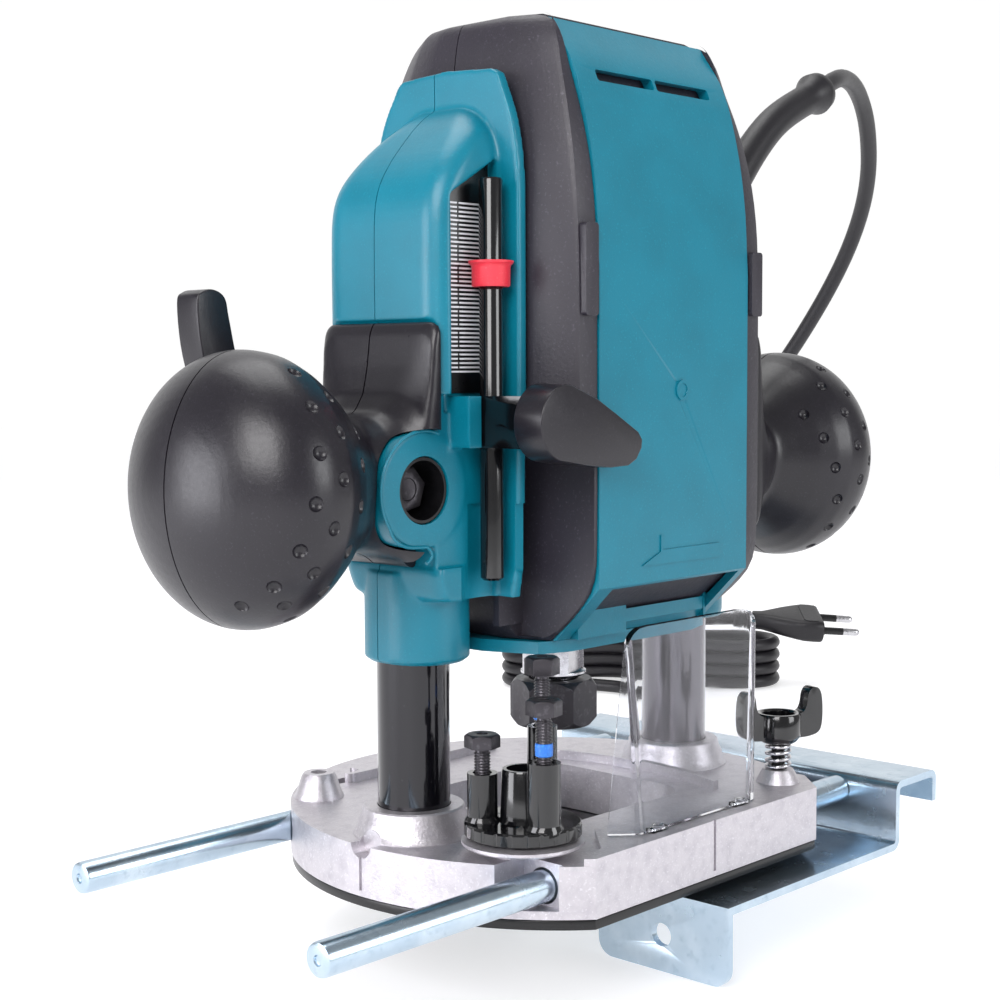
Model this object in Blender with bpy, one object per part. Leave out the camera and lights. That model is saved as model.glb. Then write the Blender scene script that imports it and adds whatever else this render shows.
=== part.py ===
"""Compact plunge router with its straight guide fitted and its supply cord tied in a hank.

The numbers below are millimetres.  They are measured from the collet axis at the face of the
sole: X runs through the two columns and the knobs, -Y is the front, and Z is up.  ORIGIN then
puts the lowest edge of the guide on the floor and the middle of the tool over the origin.
"""

import math

import bmesh
import bpy
from mathutils import Matrix, Vector

MM = 0.001
ORIGIN = Vector((0.0, -5.0, 23.6))
GAP = 0.3

# Base
BASE_RADIUS = 70.0
BASE_FRONT = -53.0
SOLE_TOP = 2.3
BASE_TOP = 15.0
BLOCK_TOP = 16.7
BIT_OPENING = 27.0
ROD_HEIGHT = 9.2
ROD_RADIUS = 3.8
ROD_NEAR_Y = -41.2
ROD_FAR_Y = 43.5
WING_X = 45.0
RING_TOP = 22.0
SOLE_SCREWS = ((-33.0, 34.0), (33.0, 34.0), (0.0, -30.5))

# Columns
COLUMN_X = 52.0
COLUMN_RADIUS = 8.9
COLUMN_TOP = 132.0

# Depth stop
TURRET = (-48.0, -32.5)
TURRET_RADIUS = 13.9
TURRET_BOTTOM = 19.4
TURRET_TOP = 22.7
POST_ORBIT = 9.5
POSTS = (
    # turn from +X, radius, top of the post, underside of the bolt's head, top of the head
    (133.0, 3.6, 34.0, 40.0, 43.2), (253.0, 3.9, 38.2, 49.2, 52.9), (13.0, 3.6, 43.4, 55.8, 60.0),
)
POLE = (-48.0, -23.0)
POLE_RADIUS = 2.8
POLE_BOTTOM = 78.6
POLE_TOP = 172.4

# Motor unit
SHELL_TOP = 214.5
SHELL_BOTTOM = 62.3
SIDE_X = 40.0
TOWER_X = 62.0
TOWER_BOTTOM = 72.2
COLLAR_BOTTOM = 58.6
COLLAR_RADIUS = 11.7
KNOB_X = 104.0
KNOB_Z = 101.8
KNOB_RADIUS = 31.0
KNOB_HALF_LENGTH = 21.0
LOCK_X = -66.0
LOCK_Z = 100.5
CLAMP_X = -49.0
CLAMP_Z = 116.0
COVER_Y = -40.8
COVER_HALF_WIDTH = 30.0
BRACKET_BOTTOM = 57.6
BRACKET_TOP = 62.0

# Straight guide
GUIDE_NEAR_Y = -60.0
GUIDE_FAR_Y = 62.3
SHEET = 2.0
ROD_LEFT = -119.5
ROD_RIGHT = 74.6
FENCE_X = -4.0
WEB_X = 75.0
FLANGE_X = 97.0
FENCE_TOP = -3.2
FENCE_BOTTOM = -23.6
SHELF_TOP = 14.0

# Supply cord, in the same millimetres
CORD_RADIUS = 2.85
GUARD_ROUTE = [
    (63.4, 0.0, 162.5), (69.0, 0.0, 163.5), (80.0, 0.0, 181.5), (100.0, 0.0, 201.0), (126.0, 0.0, 214.0),
]
CORD_ROUTE = [
    (126.6, 0.0, 214.3), (138.0, 2.0, 219.0), (150.0, 6.0, 221.5), (163.0, 10.5, 221.5),
    (176.0, 15.5, 218.8), (188.0, 20.5, 213.5), (199.0, 26.0, 206.5), (209.0, 32.0, 198.5),
    (218.0, 39.0, 189.5), (225.5, 47.0, 179.5), (231.0, 56.0, 168.0), (235.0, 66.5, 155.0),
    (237.5, 78.0, 141.0), (239.0, 90.5, 126.0), (240.0, 103.5, 108.0), (241.5, 116.0, 88.0),
    (244.0, 127.5, 66.0), (247.5, 138.0, 44.0), (252.0, 147.5, 23.0), (257.5, 156.5, 5.0),
    (264.0, 165.5, -9.0), (270.5, 173.5, -17.5), (275.6, 182.0, -20.6), (280.0, 191.0, -20.7),
    (281.5, 200.8, -20.7), (278.7, 211.1, -20.7), (271.6, 221.9, -20.7),
]
HANK_CENTRE = (309.7, 215.4)
HANK_TURN = -47.0
HANK_LENGTH = 134.0
HANK_WIDTH = 40.0
HANK_HEIGHT = 24.0
PLUG_PLACE = (366.4, 150.9, 5.0)


def collection(name):
    made = bpy.data.collections.new(name)
    bpy.context.scene.collection.children.link(made)
    return made


def clear_scene():
    for obj in list(bpy.data.objects):
        bpy.data.objects.remove(obj, do_unlink=True)


def finish(name, colour, roughness, metallic=0.0):
    """A plain material: its colour, roughness and metallic value."""
    material = bpy.data.materials.get(name) or bpy.data.materials.new(name)
    material.use_nodes = True
    shader = material.node_tree.nodes["Principled BSDF"]
    shader.inputs["Base Color"].default_value = (*colour, 1.0)
    shader.inputs["Roughness"].default_value = roughness
    shader.inputs["Metallic"].default_value = metallic
    return material


def place(obj, group):
    group.objects.link(obj)
    return obj


def from_bmesh(name, bm, group=None):
    """A new object from a bmesh drawn in millimetres about the collet axis."""
    bmesh.ops.recalc_face_normals(bm, faces=bm.faces)
    bm.transform(Matrix.Translation(ORIGIN * MM) @ Matrix.Scale(MM, 4))
    mesh = bpy.data.meshes.new(name)
    bm.to_mesh(mesh)
    bm.free()
    obj = bpy.data.objects.new(name, mesh)
    return place(obj, group or PARTS)


def turn_to(axis):
    """The rotation that lays +Z along an axis."""
    return Vector((0, 0, 1)).rotation_difference(Vector(axis)).to_matrix().to_4x4()


def box(name, low, high, bevel=0.0, group=None):
    low, high = Vector(low), Vector(high)
    bm = bmesh.new()
    bmesh.ops.create_cube(bm, size=1.0)
    bmesh.ops.scale(bm, vec=high - low, verts=bm.verts)
    bmesh.ops.translate(bm, vec=(low + high) / 2, verts=bm.verts)
    if bevel:
        bmesh.ops.bevel(bm, geom=bm.edges[:], offset=bevel, segments=2, affect="EDGES")
    return from_bmesh(name, bm, group)


def cylinder(name, centre, radius, length, axis=(0, 0, 1), top_radius=None, sides=32, group=None):
    """A cylinder or cone whose first face is centred on a point and which runs along an axis."""
    bm = bmesh.new()
    bmesh.ops.create_cone(
        bm, cap_ends=True, segments=sides, radius1=radius,
        radius2=radius if top_radius is None else top_radius, depth=length,
    )
    bmesh.ops.translate(bm, vec=(0, 0, length / 2), verts=bm.verts)
    half_step = Matrix.Rotation(math.pi / sides, 4, "Z")
    bmesh.ops.transform(bm, matrix=Matrix.Translation(centre) @ turn_to(axis) @ half_step, verts=bm.verts)
    return from_bmesh(name, bm, group)


def turned(name, profile, centre, axis=(0, 0, 1), sides=32, group=None):
    """A solid of revolution.  The profile is (radius, height) pairs from the lower end up."""
    bm = bmesh.new()
    points = [bm.verts.new((max(r, 0.0), 0, h)) for r, h in profile]
    edges = [bm.edges.new(pair) for pair in zip(points, points[1:])]
    bmesh.ops.spin(
        bm, geom=points + edges, axis=(0, 0, 1), cent=(0, 0, 0), angle=math.tau,
        steps=sides, use_merge=True,
    )
    bmesh.ops.remove_doubles(bm, verts=bm.verts, dist=0.001)
    bmesh.ops.holes_fill(bm, edges=[e for e in bm.edges if e.is_boundary], sides=0)
    bmesh.ops.transform(bm, matrix=Matrix.Translation(centre) @ turn_to(axis), verts=bm.verts)
    return from_bmesh(name, bm, group)


def ring(name, centre, outer, inner, length, axis=(0, 0, 1), sides=32, group=None):
    """A tube with square ends."""
    profile = [(outer, length), (outer, 0.0), (inner, 0.0), (inner, length), (outer, length)]
    return turned(name, profile, centre, axis, sides, group)


def prism(name, outline, low, high, to_world=None, group=None):
    """An outline in its own XY plane, carried from one height to another."""
    curve = bpy.data.curves.new(name + "_outline", "CURVE")
    curve.dimensions = "2D"
    curve.fill_mode = "BOTH"
    curve.extrude = (high - low) / 2
    spline = curve.splines.new("POLY")
    spline.points.add(len(outline) - 1)
    for point, (x, y) in zip(spline.points, outline):
        point.co = (x, y, 0, 1)
    spline.use_cyclic_u = True
    flat = place(bpy.data.objects.new(name + "_outline", curve), CUTTERS)
    bpy.context.view_layer.update()
    graph = bpy.context.evaluated_depsgraph_get()
    mesh = bpy.data.meshes.new_from_object(flat.evaluated_get(graph))
    bpy.data.objects.remove(flat)
    bm = bmesh.new()
    bm.from_mesh(mesh)
    bmesh.ops.remove_doubles(bm, verts=bm.verts, dist=0.001)
    bmesh.ops.translate(bm, vec=(0, 0, (low + high) / 2), verts=bm.verts)
    if to_world:
        bmesh.ops.transform(bm, matrix=to_world, verts=bm.verts)
    return from_bmesh(name, bm, group)


def loft(name, sections, group=None):
    """A solid through closed outlines of one point count, each a list of (x, y, z)."""
    bm = bmesh.new()
    rows = [[bm.verts.new(p) for p in section] for section in sections]
    count = len(rows[0])
    for low, high in zip(rows, rows[1:]):
        for i in range(count):
            j = (i + 1) % count
            bm.faces.new((low[i], low[j], high[j], high[i]))
    bm.faces.new(rows[0])
    bm.faces.new(rows[-1])
    return from_bmesh(name, bm, group)


def tube(name, points, radius, resolution=2, group=None, closed=False):
    """A round bar along points, with filled ends."""
    curve = bpy.data.curves.new(name, "CURVE")
    curve.dimensions = "3D"
    curve.bevel_depth = radius * MM
    curve.bevel_resolution = resolution
    curve.use_fill_caps = True
    spline = curve.splines.new("POLY")
    spline.points.add(len(points) - 1)
    for point, p in zip(spline.points, points):
        point.co = (*((Vector(p) + ORIGIN) * MM), 1)
    spline.use_cyclic_u = closed
    return place(bpy.data.objects.new(name, curve), group or PARTS)


def meshed(obj):
    """The same piece as a mesh, so that it can be cut or joined."""
    bpy.context.view_layer.update()
    graph = bpy.context.evaluated_depsgraph_get()
    mesh = bpy.data.meshes.new_from_object(obj.evaluated_get(graph))
    bm = bmesh.new()
    bm.from_mesh(mesh)
    bmesh.ops.remove_doubles(bm, verts=bm.verts, dist=1e-6)
    bmesh.ops.recalc_face_normals(bm, faces=bm.faces)
    bm.to_mesh(mesh)
    bm.free()
    name, group = obj.name, obj.users_collection[0]
    bpy.data.objects.remove(obj)
    return place(bpy.data.objects.new(name, mesh), group)


def tool(obj):
    """Hide a cutter or a joined shape; only the piece that uses it is kept."""
    obj.hide_render = True
    obj.display_type = "WIRE"
    return obj


def boolean(obj, other, operation):
    modifier = obj.modifiers.new(operation.title(), "BOOLEAN")
    modifier.operation = operation
    modifier.solver = "EXACT"
    modifier.object = tool(other)


def cut(obj, *others):
    for other in others:
        boolean(obj, other, "DIFFERENCE")
    return obj


def join(obj, *others):
    for other in others:
        boolean(obj, other, "UNION")
    return obj


def keep(obj, other):
    boolean(obj, other, "INTERSECT")
    return obj


def body(name, location):
    """An empty on a joint's axis, which carries the pieces that move together."""
    empty = bpy.data.objects.new(name, None)
    empty.empty_display_size = 0.01
    empty.location = (Vector(location) + ORIGIN) * MM
    return place(empty, PARTS)


def ride(parent, material, *objs):
    """Give pieces their finish and hang them on the body that carries them."""
    for obj in objs:
        if not obj.data.materials:
            obj.data.materials.append(material)
        obj.parent = parent
        obj.matrix_parent_inverse = Matrix.Translation(-parent.location)


def rounded(low_x, low_y, high_x, high_y, radius, steps=4):
    """A rectangle with round corners."""
    corners = [
        (high_x - radius, high_y - radius, 0), (low_x + radius, high_y - radius, 90),
        (low_x + radius, low_y + radius, 180), (high_x - radius, low_y + radius, 270),
    ]
    return [
        (cx + radius * math.cos(math.radians(start + 90 * i / steps)),
         cy + radius * math.sin(math.radians(start + 90 * i / steps)))
        for cx, cy, start in corners for i in range(steps + 1)
    ]


def base_outline(radius=BASE_RADIUS, front=BASE_FRONT, steps=56):
    """A circle with its front cut off flat."""
    start = math.asin(front / radius)
    sweep = math.pi - 2 * start
    return [
        (radius * math.cos(start + sweep * i / steps), radius * math.sin(start + sweep * i / steps))
        for i in range(steps + 1)
    ]


def hexagon(across, turn=0.0):
    corner = across / math.sqrt(3)
    return [
        (corner * math.cos(math.radians(turn + 60 * i)), corner * math.sin(math.radians(turn + 60 * i)))
        for i in range(6)
    ]


def smooth(points, steps):
    """Points on a smooth curve through a route's own points (Catmull-Rom)."""
    path = [Vector(p) for p in points]
    path = [2 * path[0] - path[1], *path, 2 * path[-1] - path[-2]]
    made = []
    for a, b, c, d in zip(path, path[1:], path[2:], path[3:]):
        for i in range(steps):
            t = i / steps
            made.append(
                0.5 * (2 * b + (c - a) * t + (2 * a - 5 * b + 4 * c - d) * t ** 2
                       + (3 * b - a - 3 * c + d) * t ** 3)
            )
    return made + [path[-2]]


def coil_points(centre, radius, low, high, turns, per_turn=10):
    """A compression spring's centreline."""
    count = int(turns * per_turn)
    return [
        (centre[0] + radius * math.cos(math.tau * turns * i / count),
         centre[1] + radius * math.sin(math.tau * turns * i / count),
         low + (high - low) * i / count)
        for i in range(count + 1)
    ]


# ---------------------------------------------------------------- base

def base_casting():
    casting = prism("base_casting", base_outline(), SOLE_TOP + GAP, BASE_TOP)
    corner = math.sqrt(BASE_RADIUS ** 2 - BASE_FRONT ** 2)
    block = [
        (-corner, BASE_FRONT), (corner, BASE_FRONT), (corner + 9.6, -43.0), (corner + 9.6, -36.0),
        (-26.0, -36.0), (-38.0, -48.0), (-corner - 2.0, -51.0),
    ]
    join(casting, prism("front_block", block, 10.0, BLOCK_TOP, group=CUTTERS))
    for side in (-1, 1):
        profile = [(12.6, 10.0), (12.6, 18.0), (11.2, 19.6), (11.2, RING_TOP), (0.0, RING_TOP)]
        centre = (side * COLUMN_X, 0.0, 0.0)
        join(casting, turned(f"column_boss{side}", [(0.0, 10.0), *profile], centre, group=CUTTERS))
    seat = [(0.0, 8.0), (7.2, 8.0), (7.2, 15.4), (14.6, 17.2), (14.6, 18.3), (12.4, 19.1), (0.0, 19.1)]
    join(casting, turned("turret_boss", seat, (*TURRET, 0.0), group=CUTTERS))
    for x, y, top in ((WING_X, ROD_NEAR_Y, 20.2), (-WING_X, ROD_FAR_Y, 21.6)):
        profile = [(0.0, 8.0), (6.0, 8.0), (6.0, 16.5), (4.4, top - 0.8), (3.9, top), (0.0, top)]
        join(casting, turned(f"clamp_boss{x:.0f}", profile, (x, y, 0.0), group=CUTTERS))
    raised = prism("rear_rib", rounded(-30.0, 48.0, 30.0, 54.0, 2.0), 10.0, 17.5, group=CUTTERS)
    pointer = cylinder("left_pointer", (-66.4, 0.0, 14.6), 3.2, 6.0, (1, 0, 0), group=CUTTERS)
    join(casting, raised, pointer)

    opening = rounded(-BIT_OPENING, -24.0, BIT_OPENING, 27.0, 9.0)
    cut(casting, prism("bit_opening", opening, 0.0, 30.0, group=CUTTERS))
    for side in (-1, 1):
        hole = cylinder(
            f"column_hole{side}", (side * COLUMN_X, 0.0, 3.6), COLUMN_RADIUS + GAP, 30.0, group=CUTTERS,
        )
        cut(casting, hole)
    for y in (ROD_NEAR_Y, ROD_FAR_Y):
        hole = cylinder(f"rod_hole{y:.0f}", (-90.0, y, ROD_HEIGHT), ROD_RADIUS + 0.5, 180.0, (1, 0, 0),
                        sides=20, group=CUTTERS)
        cut(casting, hole)
    cut(
        casting,
        box("rod_window", (-80.0, -47.0, 4.6), (-50.5, -35.0, 15.6), group=CUTTERS),
        cylinder("left_notch", (-80.0, 0.0, 15.2), 3.4, 14.0, (1, 0, 0), sides=20, group=CUTTERS),
        box("left_mark", (-72.0, -0.5, 4.0), (-69.2, 0.5, 13.0), group=CUTTERS),
        box("front_mark", (-0.6, BASE_FRONT - 1.0, 4.0), (0.6, BASE_FRONT + 0.8, 20.0), group=CUTTERS),
        prism("rear_slot", rounded(-36.0, 50.0, -24.0, 54.5, 1.5), 9.0, 30.0, group=CUTTERS),
        cylinder("turret_thread", (*TURRET, 14.4), 2.3, 10.0, sides=16, group=CUTTERS),
        cylinder("wing_thread", (WING_X, ROD_NEAR_Y, 12.9), 2.4, 12.0, sides=16, group=CUTTERS),
        cylinder("spare_thread", (-WING_X, ROD_FAR_Y, 12.9), 2.1, 12.0, sides=16, group=CUTTERS),
    )
    for x, y in SOLE_SCREWS:
        cut(casting, cylinder(f"sole_thread{x}{y}", (x, y, 1.0), 1.8, 8.0, sides=12, group=CUTTERS))
    return casting


def sole_plate():
    plate = prism("sole_plate", base_outline(BASE_RADIUS - 0.3, BASE_FRONT + 0.3), 0.0, SOLE_TOP)
    cut(plate, cylinder("sole_hole", (0, 0, -2.0), 17.5, 8.0, group=CUTTERS))
    for x, y in SOLE_SCREWS:
        cut(
            plate,
            cylinder(f"sink{x}{y}", (x, y, -0.4), 4.3, 2.0, top_radius=2.1, sides=20, group=CUTTERS),
            cylinder(f"sink_hole{x}{y}", (x, y, -0.5), 2.1, 4.0, sides=20, group=CUTTERS),
        )
    return plate


def sole_screw(number, x, y):
    profile = [(0.0, 0.15), (3.4, 0.15), (3.4, 0.3), (1.6, 1.5), (1.5, 8.0), (0.0, 8.0)]
    screw = turned(f"sole_screw_{number}", profile, (x, y, 0.0), sides=16)
    return cut(screw, box(f"screw_slot{number}", (x - 4.0, y - 0.4, -1.0), (x + 4.0, y + 0.4, 0.55),
                          group=CUTTERS))


def column(name, x):
    return ring(name, (x, 0.0, 4.0), COLUMN_RADIUS, COLUMN_RADIUS - 1.8, COLUMN_TOP - 4.0)


def plunge_spring(name, x):
    points = coil_points((x, 0.0), 4.6, 6.2, 167.6, 12, 8)
    return tube(name, points, 0.7, 0)


def chip_deflector():
    """A clear guard: a flat front whose sides turn back more and more towards the foot."""
    wall = 1.8
    levels = []
    for z, half, back_half, y, back in (
        (BLOCK_TOP + GAP, 23.0, 29.4, -48.6, -42.9), (18.6, 23.0, 29.2, -48.4, -43.0),
        (44.0, 25.0, 28.2, -47.6, -44.6), (66.6, 26.2, 26.9, -46.7, -46.0),
    ):
        outer = [(-back_half, back), (-half, y), (half, y), (back_half, back)]
        inner = [
            (back_half - wall, back + 0.5), (half - wall * 0.6, y + wall),
            (-half + wall * 0.6, y + wall), (-back_half + wall, back + 0.5),
        ]
        levels.append([(px, py, z) for px, py in outer + inner])
    return loft("chip_deflector", levels)


# ---------------------------------------------------------------- depth stop

def post_place(turn):
    return (
        TURRET[0] + POST_ORBIT * math.cos(math.radians(turn)),
        TURRET[1] + POST_ORBIT * math.sin(math.radians(turn)),
    )


def stopper_block():
    profile = [
        (0.0, TURRET_BOTTOM), (TURRET_RADIUS - 0.6, TURRET_BOTTOM), (TURRET_RADIUS, TURRET_BOTTOM + 0.6),
        (TURRET_RADIUS, TURRET_TOP - 0.4), (TURRET_RADIUS - 0.4, TURRET_TOP),
        (5.2, TURRET_TOP), (4.8, 35.0), (0.0, 35.0),
    ]
    block = turned("stopper_block", profile, (*TURRET, 0.0))
    for i, (turn, radius, top, _, _) in enumerate(POSTS):
        x, y = post_place(turn)
        join(block, cylinder(f"post{i}", (x, y, 21.0), radius, top - 21.0, sides=20, group=CUTTERS))
    cut(
        block,
        cylinder("turret_bore", (*TURRET, 10.0), 2.3, 40.0, sides=16, group=CUTTERS),
        cylinder("turret_cup", (*TURRET, 27.0), 3.9, 20.0, sides=20, group=CUTTERS),
    )
    for i, (turn, _, top, _, _) in enumerate(POSTS):
        x, y = post_place(turn)
        cut(block, cylinder(f"post_bore{i}", (x, y, top - 9.2), 2.3, 20.0, sides=12, group=CUTTERS))
    return block


def turret_screw():
    profile = [
        (0.0, 15.0), (1.9, 15.0), (1.9, 27.4), (3.4, 27.4), (3.4, 30.6), (1.7, 30.6), (1.7, 29.0), (0.0, 29.0),
    ]
    return turned("turret_screw", profile, (*TURRET, 0.0), sides=16)


def stop_bolt(number, turn, top, head_low, head_high):
    """A hexagon bolt screwed into its post; its origin is on its own axis."""
    x, y = post_place(turn)
    spot = Matrix.Translation((x, y, 0.0))
    bolt = prism(f"stop_bolt_{number}", hexagon(7.4, turn), head_low, head_high, spot)
    return join(
        bolt,
        cylinder(f"bolt_shank{number}", (x, y, top - 8.0), 1.9, head_low - top + 8.5, sides=16, group=CUTTERS),
    )


def stopper_pole():
    profile = [
        (0.0, POLE_BOTTOM), (POLE_RADIUS - 0.5, POLE_BOTTOM), (POLE_RADIUS, POLE_BOTTOM + 0.5),
        (POLE_RADIUS, POLE_TOP - 0.5), (POLE_RADIUS - 0.5, POLE_TOP), (0.0, POLE_TOP),
    ]
    return turned("stopper_pole", profile, (*POLE, 0.0), sides=20)


def depth_pointer():
    low, high = 146.2, 153.9
    inner = POLE_RADIUS + GAP
    profile = [
        (4.3, low), (4.3, high - 2.2), (5.0, high - 0.7), (5.0, high), (inner, high), (inner, low), (4.3, low),
    ]
    return turned("depth_pointer", profile, (*POLE, 0.0), sides=24)


def pole_bracket():
    """The block that guides the pole; the clamp screw runs in from its front."""
    block = box("pole_bracket", (-53.0, -37.6, 110.0), (-43.6, -18.6, 122.0), 0.6)
    return cut(
        block,
        cylinder("pole_bore", (*POLE, 100.0), POLE_RADIUS + GAP, 40.0, sides=20, group=CUTTERS),
        cylinder("clamp_bore", (CLAMP_X, -27.2, CLAMP_Z), 2.4, 20.0, (0, -1, 0), sides=16, group=CUTTERS),
    )


def clamp_lever():
    """A teardrop lever on the clamp screw, which turns about the front-to-back axis."""
    z = CLAMP_Z
    to_world = Matrix.Translation((CLAMP_X, 0.0, z)) @ Matrix.Rotation(math.radians(90), 4, "X")
    sweep = [
        (9.0 * math.cos(math.radians(a)), 9.0 * math.sin(math.radians(a))) for a in range(70, 291, 20)
    ]
    outline = sweep + [(14.0, -11.2), (24.0, -12.4), (27.4, -9.6), (28.0, -5.2), (24.0, -1.8), (12.0, 5.6)]
    lever = prism("clamp_lever", outline, 41.8, 47.2, to_world)
    hub = cylinder("lever_hub", (CLAMP_X, -38.2, z), 7.4, 5.0, (0, -1, 0), sides=24, group=CUTTERS)
    screw = cylinder("lever_screw", (CLAMP_X, -27.6, z), 2.0, 14.0, (0, -1, 0), sides=16, group=CUTTERS)
    return join(lever, hub, screw)


# ---------------------------------------------------------------- motor unit

def shell_section(z, half, front, rear):
    """One level of the motor shell: a broad front with canted corners and a round rear."""
    depth = rear - front
    canted = min(COVER_HALF_WIDTH + 3.0, half - 1.4)
    side = [
        (canted, front), (half - 1.0, front + 0.14 * depth), (half, front + 0.19 * depth),
        (half, rear - 0.4 * depth), (half - 1.5, rear - 0.26 * depth), (half - 8.0, rear - 0.1 * depth),
        (half - 18.0, rear - 0.02 * depth),
    ]
    right = [(x, y, z) for x, y in side] + [(0.0, rear, z)]
    left = [(-x, y, z) for x, y in reversed(side)]
    return right + left


SHELL_LEVELS = (
    # height, half width, front, rear
    (SHELL_BOTTOM, 35.0, -24.0, 36.0), (76.0, 39.0, -37.6, 40.0), (90.0, SIDE_X, -38.6, 42.0),
    (160.0, SIDE_X, -38.6, 42.0), (183.0, 39.0, -35.0, 40.0), (199.0, 36.5, -29.0, 36.0),
    (209.0, 34.6, -23.0, 31.0), (SHELL_TOP, 31.5, -17.0, 27.0),
)


def shell_solid(name, inset=0.0, low=None, high=None, group=None):
    levels = []
    for z, half, front, rear in SHELL_LEVELS:
        z = min(max(z, low or z), high or z)
        levels.append(shell_section(z, half - inset, front + inset, rear - inset))
    return loft(name, levels, group)


def half_space(name, side, low=-200.0, high=200.0):
    """Everything in front of, or behind, the moulding's parting plane."""
    near, far = (low, -GAP / 2) if side < 0 else (GAP / 2, high)
    return box(name, (-220.0, near, -50.0), (220.0, far, 300.0), group=CUTTERS)


def motor_shell(name, side):
    """Half of the hollow moulding round the motor."""
    shell = shell_solid(name)
    cut(
        shell,
        shell_solid(name + "_inside", 2.8, SHELL_BOTTOM + 3.0, SHELL_TOP - 3.0, CUTTERS),
        cylinder(name + "_spindle_hole", (0, 0, 50.0), 12.0, 30.0, group=CUTTERS),
        cover_space(name + "_cover_space"),
    )
    if side < 0:
        cut(shell, turret_room(name))
    else:
        for i in range(5):
            z = 184.0 + 4.4 * i
            cut(shell, box(f"rear_vent{i}", (-17.0, 20.0, z), (17.0, 60.0, z + 1.9), group=CUTTERS))
    return keep(shell, half_space(name + "_half", side))


def turret_room(name):
    """The pocket the tall stop bolts enter when the motor unit is plunged."""
    return cylinder(name + "_turret_room", (*TURRET, 50.0), 14.4, 46.5, group=CUTTERS)


def cover_profile(offset=0.0):
    """The front cover from the side: (depth, height) up its outer face."""
    return [
        (-27.0 - offset, 62.2), (COVER_Y - offset, 76.0), (COVER_Y - offset, 152.0),
        (-39.6 - offset, 170.0), (-37.0 - offset, 186.0), (-32.6 - offset, 200.0), (-25.2 - offset, 211.4),
    ]


def side_view(half_width, outline, name, group=None):
    """A side outline in (depth, height), carried across the tool."""
    to_world = Matrix(((0, 0, 1, 0), (1, 0, 0, 0), (0, 1, 0, 0), (0, 0, 0, 1)))
    return prism(name, outline, -half_width, half_width, to_world, group)


def cover_space(name):
    """What the cover fills, cut out of the shell with a gap all round."""
    outline = [(-60.0, 50.0), (-22.0, 50.0), (-22.0, 61.9)]
    outline += [(y + 3.4, z) for y, z in cover_profile()[1:]] + [(-20.5, 216.0), (-60.0, 216.0)]
    return side_view(COVER_HALF_WIDTH + GAP, outline, name, CUTTERS)


def front_cover():
    outer = cover_profile()
    inner = [(y + 3.0, z + (0.6 if i == 0 else -0.2)) for i, (y, z) in enumerate(outer)]
    cover = side_view(COVER_HALF_WIDTH, outer + inner[::-1], "front_cover")
    cut(
        cover,
        box("vent_left", (-22.4, -60.0, 195.2), (-0.8, 0.0, 199.2), group=CUTTERS),
        box("vent_right", (0.8, -60.0, 195.2), (22.4, 0.0, 199.2), group=CUTTERS),
        box("duct_mouth", (-6.0, -60.0, 65.6), (24.0, -20.0, 74.6), group=CUTTERS),
    )
    return cover


def motor_bracket():
    """The plate that closes the foot of the motor unit and carries the lower bearing."""
    outline = [(-33.0, -24.0), (-24.0, -27.0), (24.0, -27.0), (33.0, -24.0)]
    outline += [(38.0, -10.0), (38.0, 20.0), (24.0, 32.0), (-24.0, 32.0), (-38.0, 20.0), (-38.0, -10.0)]
    plate = prism("motor_bracket", outline, BRACKET_BOTTOM, BRACKET_TOP)
    return cut(plate, cylinder("bracket_hole", (0, 0, 50.0), 11.5, 30.0, group=CUTTERS))


def tower_section(z, reach, front, rear, inner, corner, rear_corner):
    """One level of a side tower, drawn for the left: its outer corners are rounded."""
    steps = 4
    points = [(-inner, rear), (-inner, front)]
    for i in range(steps + 1):
        a = math.radians(270 - 90 * i / steps)
        points.append((-reach + corner + corner * math.cos(a), front + corner + corner * math.sin(a)))
    for i in range(steps + 1):
        a = math.radians(180 - 90 * i / steps)
        points.append(
            (-reach + rear_corner + rear_corner * math.cos(a), rear - rear_corner + rear_corner * math.sin(a))
        )
    return [(x, y, z) for x, y in points]


TOWER_LEVELS = (
    # height, reach from the collet axis, front, rear
    (TOWER_BOTTOM, 62.4, -24.6, 20.0), (82.0, 64.4, -26.0, 22.0), (84.0, 62.4, -24.6, 20.0),
    (100.0, TOWER_X, -24.2, 19.0), (140.0, TOWER_X, -24.2, 19.0), (166.0, TOWER_X, -24.2, 19.0),
    (172.0, 60.4, -24.0, 18.6), (178.0, 56.6, -23.4, 18.0), (184.0, 51.6, -22.4, 17.2),
    (189.0, 47.8, -21.0, 16.4), (193.0, 46.0, -20.0, 15.8), (200.4, 45.0, -18.0, 14.6),
)


def tower_solid(name, mirror, group=None):
    flip = Matrix.Scale(-1, 4, (1, 0, 0)) if mirror else Matrix.Identity(4)
    levels = []
    for z, reach, front, rear in TOWER_LEVELS:
        corner = min(5.0, (reach - SIDE_X) * 0.6)
        rear_corner = min(11.0, (reach - SIDE_X) * 0.8)
        section = tower_section(z, reach, front, rear, SIDE_X + GAP, corner, rear_corner)
        levels.append([flip @ Vector(p) for p in section])
    return loft(name, levels, group)


def side_tower(name, mirror, side):
    """Half of a side tower: the housing that slides on a column."""
    x = COLUMN_X if mirror else -COLUMN_X
    tower = cut(tower_solid(name, mirror), neck_space(name + "_neck_space", mirror))
    join(tower, cylinder(name + "_collar", (x, 0, COLLAR_BOTTOM), COLLAR_RADIUS, 20.0, group=CUTTERS))
    if not mirror and side < 0:
        left_front_features(tower, name)
    cut(tower, cylinder(name + "_bore", (x, 0, 50.0), COLUMN_RADIUS + GAP, 118.6, group=CUTTERS))
    return keep(tower, half_space(name + "_half", side))


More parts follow.
